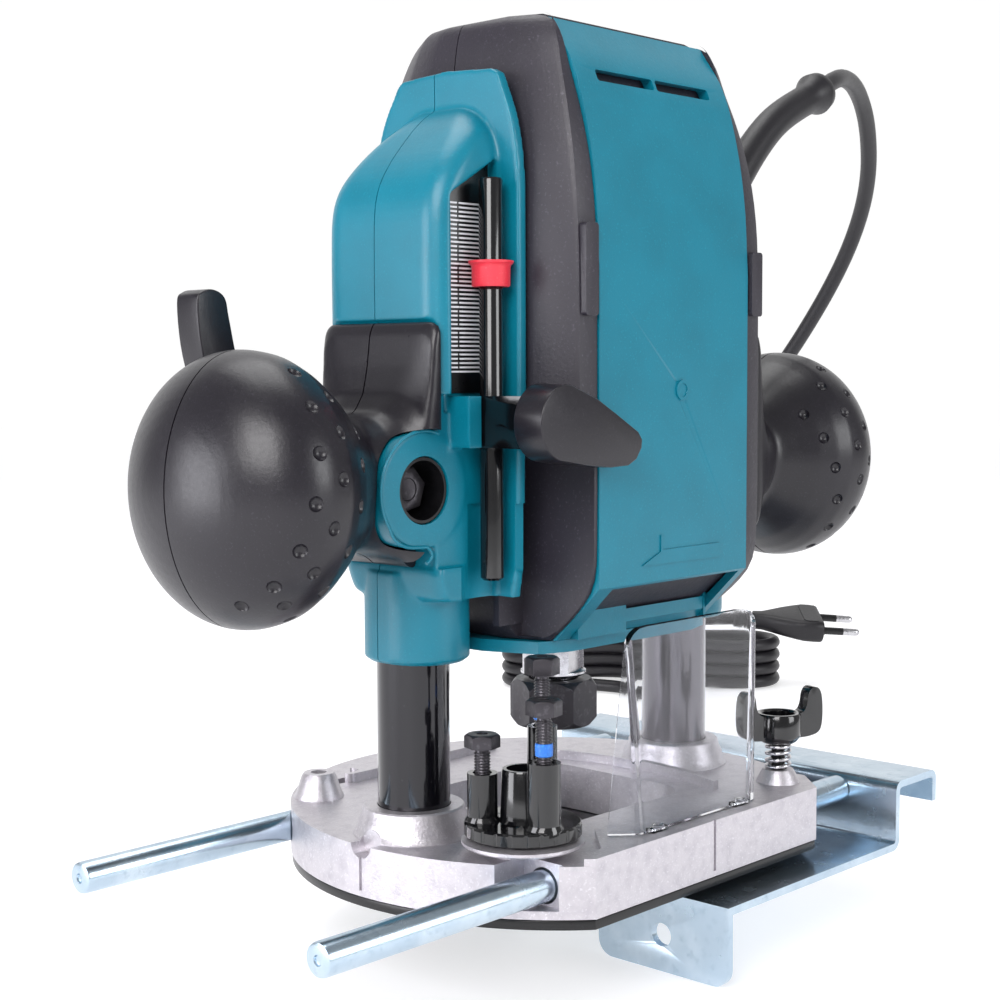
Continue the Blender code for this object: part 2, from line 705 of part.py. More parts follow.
def left_front_features(tower, name):
    """The channel of the depth stop, the pole's block and the boss of the lock screw."""
    outline = [(-56.4, 118.0), (-43.0, 118.0), (-43.0, 183.0), (-56.4, 168.5)]
    cut(
        tower,
        side_front(outline, -60.0, -17.4),
        box(name + "_front_face", (-90.0, -60.0, 84.0), (-39.0, -18.5, 122.4), group=CUTTERS),
        box(name + "_skirt_face", (-90.0, -60.0, 60.0), (-39.0, -19.8, 84.1), group=CUTTERS),
        box(name + "_bracket_room", (-53.4, -60.0, 109.6), (-43.0, -18.2, 122.4), group=CUTTERS),
    )
    join(
        tower,
        box(name + "_side_block", (-57.5, -25.0, 110.0), (-53.4, -17.0, 122.0), group=CUTTERS),
        box(name + "_rail", (-43.0, -25.8, 98.0), (-40.3, -17.0, 176.0), group=CUTTERS),
        cylinder(name + "_boss", (LOCK_X, -4.1, LOCK_Z), 13.4, 14.4, (0, -1, 0), group=CUTTERS),
    )
    cut(
        tower,
        turret_room(name),
        cylinder(name + "_lock_bore", (LOCK_X, -40.0, LOCK_Z), 3.6, 80.0, (0, 1, 0), sides=20, group=CUTTERS),
        cylinder(name + "_lock_cup", (LOCK_X, -50.0, LOCK_Z), 7.6, 41.0, (0, 1, 0), group=CUTTERS),
    )


def side_front(outline, near, far):
    """A front outline in (x, height), carried from front to back."""
    to_world = Matrix(((1, 0, 0, 0), (0, 0, 1, 0), (0, 1, 0, 0), (0, 0, 0, 1)))
    return prism("front_outline", outline, near, far, to_world, CUTTERS)


def neck_space(name, mirror):
    sign = 1 if mirror else -1
    low, high = sorted((sign * 60.9, sign * 90.0))
    return box(name, (low, -40.0, 84.2), (high, 40.0, 140.0), group=CUTTERS)


def knob_profile():
    """The turned grip, from its outer pole in to the neck: (radius, distance from the tool's axis)."""
    outer = [
        (KNOB_RADIUS * math.sin(math.radians(a)), KNOB_X + KNOB_HALF_LENGTH * math.cos(math.radians(a)))
        for a in range(0, 100, 9)
    ]
    inner = [(28.6, 95.0), (24.2, 88.4), (19.4, 83.0), (16.6, 78.0), (15.8, 72.0), (15.8, 66.0), (0.0, 66.0)]
    return outer + inner


def knob(name, mirror, side):
    """Half of a grip with the flared neck that joins it to the tower."""
    sign = 1 if mirror else -1
    grip = turned(name, knob_profile()[::-1], (0, 0, KNOB_Z), (sign, 0, 0), 36)
    flare = []
    for x, half, low, high, radius in (
        (61.5, 17.4, 84.6, 139.6, 5.0), (64.0, 17.4, 84.8, 138.0, 6.0), (67.0, 16.8, 86.2, 128.0, 10.0),
        (72.0, 15.6, 87.0, 118.0, 13.0), (78.0, 15.0, 87.4, 116.6, 13.5),
    ):
        outline = rounded(-half, low, half, high, radius, 5)
        flare.append([(sign * x, y, z) for y, z in outline])
    join(grip, loft(name + "_neck", flare, CUTTERS))
    if not mirror:
        cut(
            grip,
            cylinder(name + "_lock_room", (LOCK_X, -60.0, LOCK_Z), 4.2, 120.0, (0, 1, 0), sides=20,
                     group=CUTTERS),
        )
    if not mirror and side < 0:
        room = cylinder(name + "_boss_room", (LOCK_X, -3.8, LOCK_Z), 13.7, 40.0, (0, -1, 0), group=CUTTERS)
        cut(grip, room)
    if mirror and side > 0:
        cut(grip, box(name + "_switch_room", (70.0, 8.0, 96.0), (85.0, 60.0, 110.0), group=CUTTERS))
    return keep(grip, half_space(name + "_half", side))


def depth_scale():
    """The curved strip behind the pole that carries the depth marks."""
    return box("depth_scale", (-56.1, -18.9, 122.8), (-51.2, -17.7, 167.6), 0.4)


def cord_guard():
    """The curved rubber sleeve that the cord leaves through, with a flared mouth."""
    guard = meshed(tube("cord_guard", smooth(GUARD_ROUTE, 4), 5.2, 3))
    start, end = Vector(GUARD_ROUTE[-2]), Vector(GUARD_ROUTE[-1])
    along = (end - start).normalized()
    flare = [(0.0, 0.0), (5.0, 0.0), (6.1, 2.6), (6.5, 4.4), (6.0, 5.6), (0.0, 5.6)]
    return join(guard, turned("guard_mouth", flare, end - along * 5.6, along, 24, CUTTERS))


def lock_screw():
    """The screw across the left tower that clamps the motor unit to its column."""
    screw = cylinder("lock_screw", (LOCK_X, -13.0, LOCK_Z), 3.2, 45.0, (0, 1, 0), sides=20)
    to_world = Matrix.Translation((LOCK_X, 0.0, LOCK_Z)) @ Matrix.Rotation(math.radians(90), 4, "X")
    return join(screw, prism("lock_hex", hexagon(9.6, 12.0), 9.6, 13.4, to_world, CUTTERS))


def lock_lever():
    """The paddle at the back that turns the lock screw; it points up when locked."""
    to_world = Matrix.Translation((LOCK_X, 0.0, LOCK_Z)) @ Matrix.Rotation(math.radians(90), 4, "X")
    outline = [
        (8.0, 4.0), (2.0, 9.4), (-7.0, 17.0), (-12.5, 29.0), (-15.2, 40.0), (-16.4, 45.0), (-19.6, 46.9),
        (-23.2, 46.4), (-24.8, 43.6), (-23.4, 31.0), (-18.4, 17.0), (-11.0, 5.0), (-7.0, -5.0), (0.0, -8.8),
        (7.0, -4.6),
    ]
    lever = prism("lock_lever", outline, -37.6, -32.4, to_world)
    hub = cylinder("lock_hub", (LOCK_X, 19.6, LOCK_Z), 7.0, 14.0, (0, 1, 0), sides=24, group=CUTTERS)
    join(lever, hub)
    return cut(lever, cylinder("lock_socket", (LOCK_X, 10.0, LOCK_Z), 3.5, 22.4, (0, 1, 0), sides=20,
                               group=CUTTERS))


def switch_rocker():
    return box("switch_rocker", (71.0, 12.0, 97.0), (84.0, 19.0, 109.0), 1.0)


def stator():
    return ring("stator", (0, 0, 98.0), 31.0, 21.0, 50.0)


def motor_bearing(name, low, outer, inner, height):
    return ring(name, (0, 0, low), outer, inner, height, sides=24)


def brush_holder(name, side):
    return box(name, (side * 14.0 if side > 0 else -30.0, -5.0, 160.0),
               (30.0 if side > 0 else -14.0, 5.0, 172.0), 0.8)


def spindle():
    """The motor shaft, with the flats that a wrench holds above the collet nut."""
    profile = [
        (0.0, 31.0), (6.2, 31.0), (6.2, 43.4), (8.7, 43.9), (8.7, 56.4), (4.9, 57.0), (4.9, 200.0), (0.0, 200.0),
    ]
    shaft = turned("spindle", profile, (0, 0, 0), sides=28)
    for side in (-1, 1):
        turn = Matrix.Rotation(math.radians(20.0), 4, "Z")
        flat = box(f"flat{side}", (-12.0, 6.5, 44.6), (12.0, 12.0, 55.4), group=CUTTERS)
        flat.matrix_world = Matrix.Translation(ORIGIN * MM) @ turn @ Matrix.Rotation(
            math.pi * (side > 0), 4, "Z") @ Matrix.Translation(-ORIGIN * MM)
        cut(shaft, flat)
    return cut(shaft, cylinder("nose_bore", (0, 0, 20.0), 4.6, 34.0, sides=24, group=CUTTERS))


def collet_cone():
    return ring("collet_cone", (0, 0, 30.2), 4.2, 3.0, 22.0, sides=20)


def collet_nut():
    nut = prism("collet_nut", hexagon(20.0, 8.0), 29.2, 42.6)
    crown = turned(
        "nut_crown", [(0.0, 28.0), (9.4, 28.0), (11.7, 31.0), (11.7, 40.2), (9.8, 43.6), (0.0, 43.6)],
        (0, 0, 0), sides=40, group=CUTTERS,
    )
    keep(nut, crown)
    return cut(
        nut,
        cylinder("nut_thread", (0, 0, 30.6), 6.6, 20.0, sides=24, group=CUTTERS),
        cylinder("nut_mouth", (0, 0, 20.0), 4.9, 20.0, sides=24, group=CUTTERS),
    )


def armature():
    """Windings on their core, and the commutator above them, on one sleeve."""
    profile = [
        (5.3, 90.0), (12.0, 90.0), (17.6, 94.0), (17.6, 98.0), (20.3, 98.2), (20.3, 147.8), (17.6, 148.0),
        (17.6, 153.0), (12.0, 156.0), (8.0, 157.0), (8.0, 160.0), (11.6, 160.2), (11.6, 172.0), (5.3, 172.0),
        (5.3, 90.0),
    ]
    return turned("armature", profile, (0, 0, 0), sides=28)


def cooling_fan():
    """A hub and disc with radial blades."""
    profile = [(5.3, 74.0), (9.0, 74.0), (9.0, 84.6), (30.0, 85.0), (30.0, 86.4), (5.3, 86.4), (5.3, 74.0)]
    fan = turned("cooling_fan", profile, (0, 0, 0), sides=28)
    for i in range(8):
        blade = box(f"blade{i}", (8.0, -0.7, 76.0), (28.6, 0.7, 86.0), group=CUTTERS)
        blade.matrix_world = Matrix.Translation(ORIGIN * MM) @ Matrix.Rotation(
            math.tau * i / 8, 4, "Z") @ Matrix.Translation(-ORIGIN * MM)
        join(fan, blade)
    return fan


# ---------------------------------------------------------------- guide

def guide_wing(name, near, far):
    """One half of the fence, below the shelf, with its lower corners rounded."""
    radius, low, top = 4.5, FENCE_BOTTOM, FENCE_TOP - 0.6
    outline = [(far, top), (near, top)]
    for centre, start in ((near + radius, 180), (far - radius, 270)):
        for i in range(5):
            a = math.radians(start + 22.5 * i)
            outline.append((centre + radius * math.cos(a), low + radius + radius * math.sin(a)))
    to_world = Matrix(((0, 0, 1, 0), (1, 0, 0, 0), (0, 1, 0, 0), (0, 0, 0, 1)))
    wing = prism(name, outline, FENCE_X, FENCE_X + SHEET, to_world, CUTTERS)
    middle = (near + far) / 2
    hole = cylinder(name + "_hole", (FENCE_X - 5.0, middle, -14.2), 3.0, 12.0, (1, 0, 0), sides=20, group=CUTTERS)
    return cut(wing, hole)


def guide_plate():
    """One bent sheet: fence, shelf under the sole, web, upper shelf and a short lip."""
    low = FENCE_TOP - SHEET
    outline = [
        (FENCE_X, low), (FENCE_X, FENCE_TOP), (WEB_X, FENCE_TOP), (WEB_X, SHELF_TOP), (FLANGE_X, SHELF_TOP),
        (FLANGE_X, 5.0), (FLANGE_X - SHEET, 5.0), (FLANGE_X - SHEET, SHELF_TOP - SHEET),
        (WEB_X + SHEET, SHELF_TOP - SHEET), (WEB_X + SHEET, low),
    ]
    to_world = Matrix(((1, 0, 0, 0), (0, 0, 1, 0), (0, 1, 0, 0), (0, 0, 0, 1)))
    plate = prism("guide_plate", outline, GUIDE_NEAR_Y, GUIDE_FAR_Y, to_world)
    join(plate, guide_wing("near_wing", GUIDE_NEAR_Y, -19.0), guide_wing("far_wing", 21.3, GUIDE_FAR_Y))
    notch = rounded(-20.0, -19.0, 26.0, 21.3, 10.0)
    cut(plate, prism("bit_notch", notch, -12.0, 4.0, group=CUTTERS))
    for y in (ROD_NEAR_Y, ROD_FAR_Y):
        hole = cylinder(f"web_hole{y:.0f}", (WEB_X - 5.0, y, ROD_HEIGHT - 1.2), 2.6, 12.0, (1, 0, 0), sides=16,
                        group=CUTTERS)
        cut(plate, hole)
    return plate


def guide_rod(name, y):
    profile = [
        (0.0, 0.0), (ROD_RADIUS - 0.7, 0.0), (ROD_RADIUS, 0.8), (ROD_RADIUS, ROD_RIGHT - ROD_LEFT),
        (0.0, ROD_RIGHT - ROD_LEFT),
    ]
    rod = turned(name, profile, (ROD_LEFT, y, ROD_HEIGHT), (1, 0, 0), 20)
    return cut(rod, cylinder(name + "_tap", (ROD_RIGHT - 12.0, y, ROD_HEIGHT - 1.2), 2.1, 16.0, (1, 0, 0),
                             sides=12, group=CUTTERS))


def rod_screw(name, y):
    """The screw that pulls a rod against the web."""
    profile = [(0.0, -9.0), (1.7, -9.0), (1.7, 2.7), (3.9, 2.7), (3.9, 4.4), (2.4, 5.6), (0.0, 5.6)]
    return turned(name, profile, (WEB_X, y, ROD_HEIGHT - 1.2), (1, 0, 0), 16)


def wing_bolt():
    """A wing bolt with an open cup for a top; its screw bears on the near guide rod."""
    profile = [
        (0.0, 13.4), (2.0, 13.4), (2.0, 27.2), (4.2, 27.4), (6.1, 29.4), (6.1, 35.2), (5.5, 35.5), (4.5, 35.2),
        (4.5, 31.5), (0.0, 31.5),
    ]
    bolt = turned("wing_bolt", profile, (WING_X, ROD_NEAR_Y, 0.0), sides=24)
    for side in (0, 180):
        outline = [(4.6, 28.6), (11.2, 29.2), (12.6, 31.2), (12.4, 40.0), (11.2, 41.5), (9.0, 41.3),
                   (8.0, 39.4), (7.6, 35.4), (4.6, 34.6)]
        to_world = (
            Matrix.Translation((WING_X, ROD_NEAR_Y, 0.0))
            @ Matrix.Rotation(math.radians(side - 23.5), 4, "Z") @ Matrix.Rotation(math.radians(90), 4, "X")
        )
        join(bolt, prism(f"wing{side}", outline, -2.1, 2.1, to_world, CUTTERS))
    return bolt


def wing_spring():
    return tube("wing_spring", coil_points((WING_X, ROD_NEAR_Y), 3.1, 21.0, 26.3, 4, 12), 0.45, 0)


# ---------------------------------------------------------------- cord

def supply_cord():
    return tube("supply_cord", smooth(CORD_ROUTE, 3), CORD_RADIUS, 2)


def cord_hank():
    half, width = HANK_LENGTH / 2, HANK_WIDTH / 2
    outline = rounded(-half, -width, half, width, width - 0.01, 8)
    to_world = Matrix.Translation((*HANK_CENTRE, 0.0)) @ Matrix.Rotation(math.radians(HANK_TURN), 4, "Z")
    return prism("cord_hank", outline, -23.6, -23.6 + HANK_HEIGHT, to_world)


def plug_frame():
    """Where the plug lies: its own +X is the way the pins point."""
    return (
        Matrix.Translation(PLUG_PLACE)
        @ Matrix.Rotation(math.radians(-46.0), 4, "Z")
        @ Matrix.Rotation(math.radians(4.0), 4, "Y")
        @ Matrix.Rotation(math.radians(13.0), 4, "X")
    )


def plug_body():
    """A flat two-pin plug: a blunt nose, shoulders and a tail that the cord goes into."""
    sections = []
    for x, half_width, half_height in (
        (-42.0, 3.4, 3.2), (-28.0, 4.2, 3.8), (-24.0, 6.5, 4.2), (-12.0, 12.5, 5.0), (-9.0, 13.5, 5.25),
        (-1.6, 13.5, 5.25), (0.0, 12.8, 4.8),
    ):
        outline = rounded(-half_width, -half_height, half_width, half_height, min(2.6, half_height * 0.7), 3)
        sections.append([plug_frame() @ Vector((x, y, z)) for y, z in outline])
    return loft("plug_body", sections)


def plug_pin(number, side):
    profile = [(0.0, 0.3), (1.75, 0.3), (1.75, 16.6), (1.1, 17.5), (0.0, 17.5)]
    start = plug_frame() @ Vector((0.3, side * 8.8, 0.0))
    along = plug_frame().to_3x3() @ Vector((1.0, -side * 0.02, 0.0))
    return turned(f"plug_pin_{number}", profile, start, along, 12)


# ---------------------------------------------------------------- assembly

def build_base(finishes):
    base = body("base_body", (0, 0, 0))
    ride(base, finishes["cast"], base_casting())
    ride(base, finishes["black"], sole_plate(), turret_screw())
    ride(base, finishes["chrome"], column("column_left", -COLUMN_X), column("column_right", COLUMN_X))
    ride(base, finishes["clear"], chip_deflector())
    ride(base, finishes["steel"], wing_spring())
    for number, (x, y) in enumerate(SOLE_SCREWS, 1):
        ride(base, finishes["steel"], sole_screw(number, x, y))
    for name, x in (("plunge_spring_left", -COLUMN_X), ("plunge_spring_right", COLUMN_X)):
        ride(base, finishes["steel"], plunge_spring(name, x))
    ride(base, finishes["rubber"], supply_cord(), cord_hank(), plug_body())
    for number, side in ((1, -1), (2, 1)):
        ride(base, finishes["steel"], plug_pin(number, side))
    return base


def build_guide(finishes):
    guide = body("guide_slide", (0, 0, ROD_HEIGHT))
    ride(guide, finishes["zinc"], guide_plate())
    for name, y in (("near", ROD_NEAR_Y), ("far", ROD_FAR_Y)):
        ride(guide, finishes["zinc"], guide_rod(f"guide_rod_{name}", y))
        ride(guide, finishes["steel"], rod_screw(f"rod_screw_{name}", y))
    clamp = body("wing_bolt_hinge", (WING_X, ROD_NEAR_Y, 30.0))
    ride(clamp, finishes["black"], wing_bolt())


def build_turret(finishes):
    turret = body("turret_hinge", (*TURRET, TURRET_BOTTOM))
    ride(turret, finishes["black"], stopper_block())
    for number, (turn, _, top, low, high) in enumerate(POSTS, 1):
        hinge = body(f"stop_bolt_{number}_hinge", (*post_place(turn), high))
        ride(hinge, finishes["black"], stop_bolt(number, turn, top, low, high))


def build_motor(finishes):
    motor = body("motor_slide", (0, 0, COLLAR_BOTTOM))
    for end, side in (("front", -1), ("rear", 1)):
        ride(motor, finishes["dark"], motor_shell(f"shell_{end}", side))
        ride(motor, finishes["teal"], side_tower(f"tower_left_{end}", False, side))
        ride(motor, finishes["teal"], side_tower(f"tower_right_{end}", True, side))
        ride(motor, finishes["dark"], knob(f"knob_left_{end}", False, side))
        ride(motor, finishes["dark"], knob(f"knob_right_{end}", True, side))
    ride(motor, finishes["teal"], front_cover(), motor_bracket())
    ride(motor, finishes["black"], pole_bracket(), depth_scale())
    ride(motor, finishes["rubber"], cord_guard())
    ride(motor, finishes["iron"], stator())
    ride(motor, finishes["steel"], motor_bearing("bearing_lower", 66.2, 13.0, 5.2, 6.0))
    ride(motor, finishes["steel"], motor_bearing("bearing_upper", 186.0, 11.0, 5.2, 7.0))
    ride(motor, finishes["brass"], brush_holder("brush_holder_left", -1), brush_holder("brush_holder_right", 1))

    drive = body("spindle_hinge", (0, 0, 50.0))
    ride(drive, finishes["steel"], spindle(), collet_cone())
    ride(drive, finishes["copper"], armature())
    ride(drive, finishes["black"], cooling_fan())
    nut = body("collet_nut_hinge", (0, 0, 36.0))
    ride(nut, finishes["iron"], collet_nut())


def build_controls(finishes):
    pole = body("stopper_pole_slide", (*POLE, POLE_BOTTOM))
    ride(pole, finishes["black"], stopper_pole())
    pointer = body("depth_pointer_slide", (*POLE, 150.0))
    ride(pointer, finishes["red"], depth_pointer())
    clamp = body("clamp_lever_hinge", (CLAMP_X, -42.0, CLAMP_Z))
    ride(clamp, finishes["black"], clamp_lever())
    lock = body("lock_lever_hinge", (LOCK_X, 20.0, LOCK_Z))
    ride(lock, finishes["black"], lock_lever(), lock_screw())
    rocker = body("switch_rocker_hinge", (77.5, 13.0, 103.0))
    ride(rocker, finishes["black"], switch_rocker())


def build():
    finishes = {
        "cast": finish("cast_aluminium", (0.60, 0.58, 0.60), 0.42, 0.85),
        "black": finish("black_gloss", (0.012, 0.012, 0.014), 0.22),
        "chrome": finish("column_chrome", (0.09, 0.085, 0.10), 0.16, 0.9),
        "clear": finish("clear_polycarbonate", (0.86, 0.88, 0.92), 0.08),
        "steel": finish("bright_steel", (0.62, 0.62, 0.64), 0.25, 1.0),
        "zinc": finish("zinc_plate", (0.50, 0.60, 0.68), 0.28, 0.95),
        "rubber": finish("black_rubber", (0.022, 0.021, 0.027), 0.55),
        "dark": finish("charcoal_grip", (0.055, 0.05, 0.065), 0.5),
        "teal": finish("teal_nylon", (0.0, 0.20, 0.30), 0.38),
        "iron": finish("oiled_iron", (0.15, 0.15, 0.17), 0.38, 0.9),
        "brass": finish("brass", (0.66, 0.47, 0.18), 0.3, 1.0),
        "copper": finish("copper_windings", (0.58, 0.26, 0.12), 0.35, 0.9),
        "red": finish("red_pointer", (0.80, 0.08, 0.09), 0.4),
    }
    build_base(finishes)
    build_guide(finishes)
    build_turret(finishes)
    build_motor(finishes)
    build_controls(finishes)


clear_scene()
PARTS = collection("plunge_router")
CUTTERS = collection("cutters")
build()
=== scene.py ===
"""The visible surfaces of a plunge router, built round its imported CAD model.

Numbers are millimetres from the collet axis at the face of the sole, as in the CAD source:
X runs through the knobs, -Y is the front and Z is up.  ORIGIN moves them to the row's frame.
"""

import math

import bmesh
import bpy
from mathutils import Matrix, Vector, noise


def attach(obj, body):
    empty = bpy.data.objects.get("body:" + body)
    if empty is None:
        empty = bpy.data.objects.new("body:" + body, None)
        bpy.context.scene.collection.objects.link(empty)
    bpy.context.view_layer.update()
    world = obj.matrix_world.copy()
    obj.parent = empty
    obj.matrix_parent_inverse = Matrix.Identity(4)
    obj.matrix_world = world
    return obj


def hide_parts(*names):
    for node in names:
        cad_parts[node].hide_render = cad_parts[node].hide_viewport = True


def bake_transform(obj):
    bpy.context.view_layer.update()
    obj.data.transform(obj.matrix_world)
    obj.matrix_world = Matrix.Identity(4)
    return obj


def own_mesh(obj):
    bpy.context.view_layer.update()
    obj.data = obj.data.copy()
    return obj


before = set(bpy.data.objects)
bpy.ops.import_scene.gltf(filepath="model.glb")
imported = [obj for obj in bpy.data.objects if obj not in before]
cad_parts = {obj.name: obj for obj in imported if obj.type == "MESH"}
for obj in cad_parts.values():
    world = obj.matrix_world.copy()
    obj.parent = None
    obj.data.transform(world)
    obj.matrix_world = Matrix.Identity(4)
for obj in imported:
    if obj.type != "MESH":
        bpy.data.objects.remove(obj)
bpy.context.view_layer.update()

MM = 0.001
ORIGIN = Vector((0.0, -5.0, 23.6))

TO_RIGHT, TO_REAR, TO_FRONT = (1, 0, 0), (0, 1, 0), (0, -1, 0)
COLUMN_X = 52.0
LOCK_X, LOCK_Z = -66.0, 100.5
CLAMP_X, CLAMP_Z = -49.0, 116.0
KNOB_Z = 101.8
ROD_NEAR_Y, ROD_FAR_Y, ROD_Z = -41.2, 43.5, 9.2
WING = (45.0, ROD_NEAR_Y)
FAR_BOSS = (-45.0, ROD_FAR_Y)
TURRET = (-48.0, -32.5)
POLE = (-48.0, -23.0)
SOLE_SCREWS = ((-33.0, 34.0), (33.0, 34.0), (0.0, -30.5))


# ---------------------------------------------------------------- camera

def make_camera():
    """A 62.6 mm lens from the front left, a little above the middle of the tool."""
    yaw, pitch, roll = math.radians(42.98), math.radians(4.35), math.radians(-0.25)
    ahead = Vector((math.cos(yaw) * math.cos(pitch), math.sin(yaw) * math.cos(pitch), -math.sin(pitch)))
    right = Vector((math.sin(yaw), -math.cos(yaw), 0.0))
    up = right.cross(ahead)
    right, up = right * math.cos(roll) + up * math.sin(roll), up * math.cos(roll) - right * math.sin(roll)
    data = bpy.data.cameras.new("camera")
    data.lens = 62.62
    data.sensor_width = 36.0
    camera = bpy.data.objects.new("camera", data)
    bpy.context.scene.collection.objects.link(camera)
    turn = Matrix((right, up, -ahead)).transposed().to_4x4()
    camera.matrix_world = Matrix.Translation((Vector((-345.2, -302.5, 128.5)) + ORIGIN) * MM) @ turn
    bpy.context.scene.camera = camera


make_camera()


# ---------------------------------------------------------------- shapes, in millimetres

def block(low, high):
    low, high = Vector(low), Vector(high)
    bm = bmesh.new()
    bmesh.ops.create_cube(bm, size=1.0)
    bmesh.ops.scale(bm, vec=high - low, verts=bm.verts)
    bmesh.ops.translate(bm, vec=(low + high) / 2, verts=bm.verts)
    return bm


def turn_to(axis):
    return Vector((0, 0, 1)).rotation_difference(Vector(axis)).to_matrix().to_4x4()


def lathe(profile, centre=(0, 0, 0), axis=(0, 0, 1), sides=64):
    """A solid of revolution through (radius, height) pairs."""
    bm = bmesh.new()
    points = [bm.verts.new((max(r, 0.0), 0, h)) for r, h in profile]
    edges = [bm.edges.new(pair) for pair in zip(points, points[1:])]
    bmesh.ops.spin(
        bm, geom=points + edges, axis=(0, 0, 1), cent=(0, 0, 0), angle=math.tau, steps=sides, use_merge=True,
    )
    bmesh.ops.remove_doubles(bm, verts=bm.verts, dist=0.0005)
    bmesh.ops.holes_fill(bm, edges=[e for e in bm.edges if e.is_boundary], sides=0)
    half_step = Matrix.Rotation(math.pi / sides, 4, "Z")
    bm.transform(Matrix.Translation(centre) @ turn_to(axis) @ half_step)
    bmesh.ops.recalc_face_normals(bm, faces=bm.faces)
    return bm


def rod(start, radius, length, axis=(0, 0, 1), top=None, sides=48):
    top = radius if top is None else top
    return lathe([(0, 0), (radius, 0), (top, length), (0, length)], start, axis, sides)


def slab(outline, low, high, to_world=None):
    """An outline in its own XY plane, carried from one height to another, then placed."""
    bm = bmesh.new()
    lower = [bm.verts.new((x, y, low)) for x, y in outline]
    upper = [bm.verts.new((x, y, high)) for x, y in outline]
    bm.faces.new(lower)
    bm.faces.new(upper)
    for i in range(len(outline)):
        j = (i + 1) % len(outline)
        bm.faces.new((lower[i], lower[j], upper[j], upper[i]))
    if to_world:
        bm.transform(to_world)
    bmesh.ops.recalc_face_normals(bm, faces=bm.faces)
    return bm


def skin(sections):
    """A solid through closed outlines of one point count."""
    bm = bmesh.new()
    rows = [[bm.verts.new(p) for p in section] for section in sections]
    count = len(rows[0])
    for low, high in zip(rows, rows[1:]):
        for i in range(count):
            j = (i + 1) % count
            bm.faces.new((low[i], low[j], high[j], high[i]))
    bm.faces.new(rows[0])
    bm.faces.new(rows[-1])
    bmesh.ops.recalc_face_normals(bm, faces=bm.faces)
    return bm


def sweep(points, radius, sides=16):
    """A round bar along points; radius is a number or one number for each point."""
    points = [Vector(p) for p in points]
    radii = radius if isinstance(radius, list) else [radius] * len(points)
    side = None
    rings = []
    for i, point in enumerate(points):
        along = (points[min(i + 1, len(points) - 1)] - points[max(i - 1, 0)]).normalized()
        if side is None:
            side = along.orthogonal().normalized()
        side = (side - along * side.dot(along)).normalized()
        other = along.cross(side)
        rings.append([
            point + (
                side * math.cos(math.tau * k / sides) + other * math.sin(math.tau * k / sides)
            ) * radii[i]
            for k in range(sides)
        ])
    return skin(rings)


def curve_through(points, steps):
    """Points on a smooth curve through a route's own points (Catmull-Rom); works on any tuples."""
    path = [Vector(p) for p in points]
    path = [2 * path[0] - path[1], *path, 2 * path[-1] - path[-2]]
    made = []
    for a, b, c, d in zip(path, path[1:], path[2:], path[3:]):
        for i in range(steps):
            t = i / steps
            made.append(
                0.5 * (2 * b + (c - a) * t + (2 * a - 5 * b + 4 * c - d) * t ** 2
                       + (3 * b - a - 3 * c + d) * t ** 3)
            )
    return made + [path[-2]]


def polar(centre, radius, degrees):
    turn = math.radians(degrees)
    return centre[0] + radius * math.cos(turn), centre[1] + radius * math.sin(turn)


def arc(cx, cy, radius, start, end, steps=6):
    return [polar((cx, cy), radius, start + (end - start) * i / steps) for i in range(steps + 1)]


def rounded(low_x, low_y, high_x, high_y, radius, steps=6):
    r = radius
    return (
        arc(high_x - r, high_y - r, r, 0, 90, steps) + arc(low_x + r, high_y - r, r, 90, 180, steps)
        + arc(low_x + r, low_y + r, r, 180, 270, steps) + arc(high_x - r, low_y + r, r, 270, 360, steps)
    )


def hexagon(across, turn=0.0):
    return arc(0, 0, across / math.sqrt(3), turn, turn + 300, 5)


XZ = Matrix(((1, 0, 0, 0), (0, 0, 1, 0), (0, 1, 0, 0), (0, 0, 0, 1)))  # outline (x, z), carried along y
YZ = Matrix(((0, 0, 1, 0), (1, 0, 0, 0), (0, 1, 0, 0), (0, 0, 0, 1)))  # outline (y, z), carried along x


def scratch(bm):
    mesh = bpy.data.meshes.new("scratch")
    bm.to_mesh(mesh)
    bm.free()
    obj = bpy.data.objects.new("scratch", mesh)
    bpy.context.scene.collection.objects.link(obj)
    return obj


def gather(group, bm):
    """Copies a solid into a group of solids that don't touch; the solid is used up."""
    mesh = bpy.data.meshes.new("gathered")
    bm.to_mesh(mesh)
    bm.free()
    group.from_mesh(mesh)
    bpy.data.meshes.remove(mesh)


def settle(obj, *others):
    """The object's final mesh as a bmesh; the scratch objects are then removed."""
    bpy.context.view_layer.update()
    graph = bpy.context.evaluated_depsgraph_get()
    bm = bmesh.new()
    bm.from_mesh(obj.evaluated_get(graph).to_mesh())
    for used in (obj, *others):
        mesh = used.data
        bpy.data.objects.remove(used)
        bpy.data.meshes.remove(mesh)
    return bm


def combine(base, *steps):
    """Joins, cuts or keeps solids one after another; a step is ("add", "cut" or "keep", solid)."""
    words = {"add": "UNION", "cut": "DIFFERENCE", "keep": "INTERSECT"}
    host = scratch(base)
    tools = []
    for word, solid in steps:
        modifier = host.modifiers.new(word, "BOOLEAN")
        modifier.operation = words[word]
        modifier.solver = "EXACT"
        modifier.object = scratch(solid)
        tools.append(modifier.object)
    return settle(host, *tools)


def add(base, *solids):
    return combine(base, *(("add", solid) for solid in solids))


def cut(base, *solids):
    return combine(base, *(("cut", solid) for solid in solids))


def soften(bm, voxel, repeats=4, factor=0.5):
    """One even mesh over a solid, with its edges rounded as a moulding's are."""
    host = scratch(bm)
    remesh = host.modifiers.new("remesh", "REMESH")
    remesh.mode = "VOXEL"
    remesh.voxel_size = voxel
    remesh.adaptivity = 0.0
    if repeats:
        smooth = host.modifiers.new("smooth", "SMOOTH")
        smooth.factor = factor
        smooth.iterations = repeats
    return settle(host)


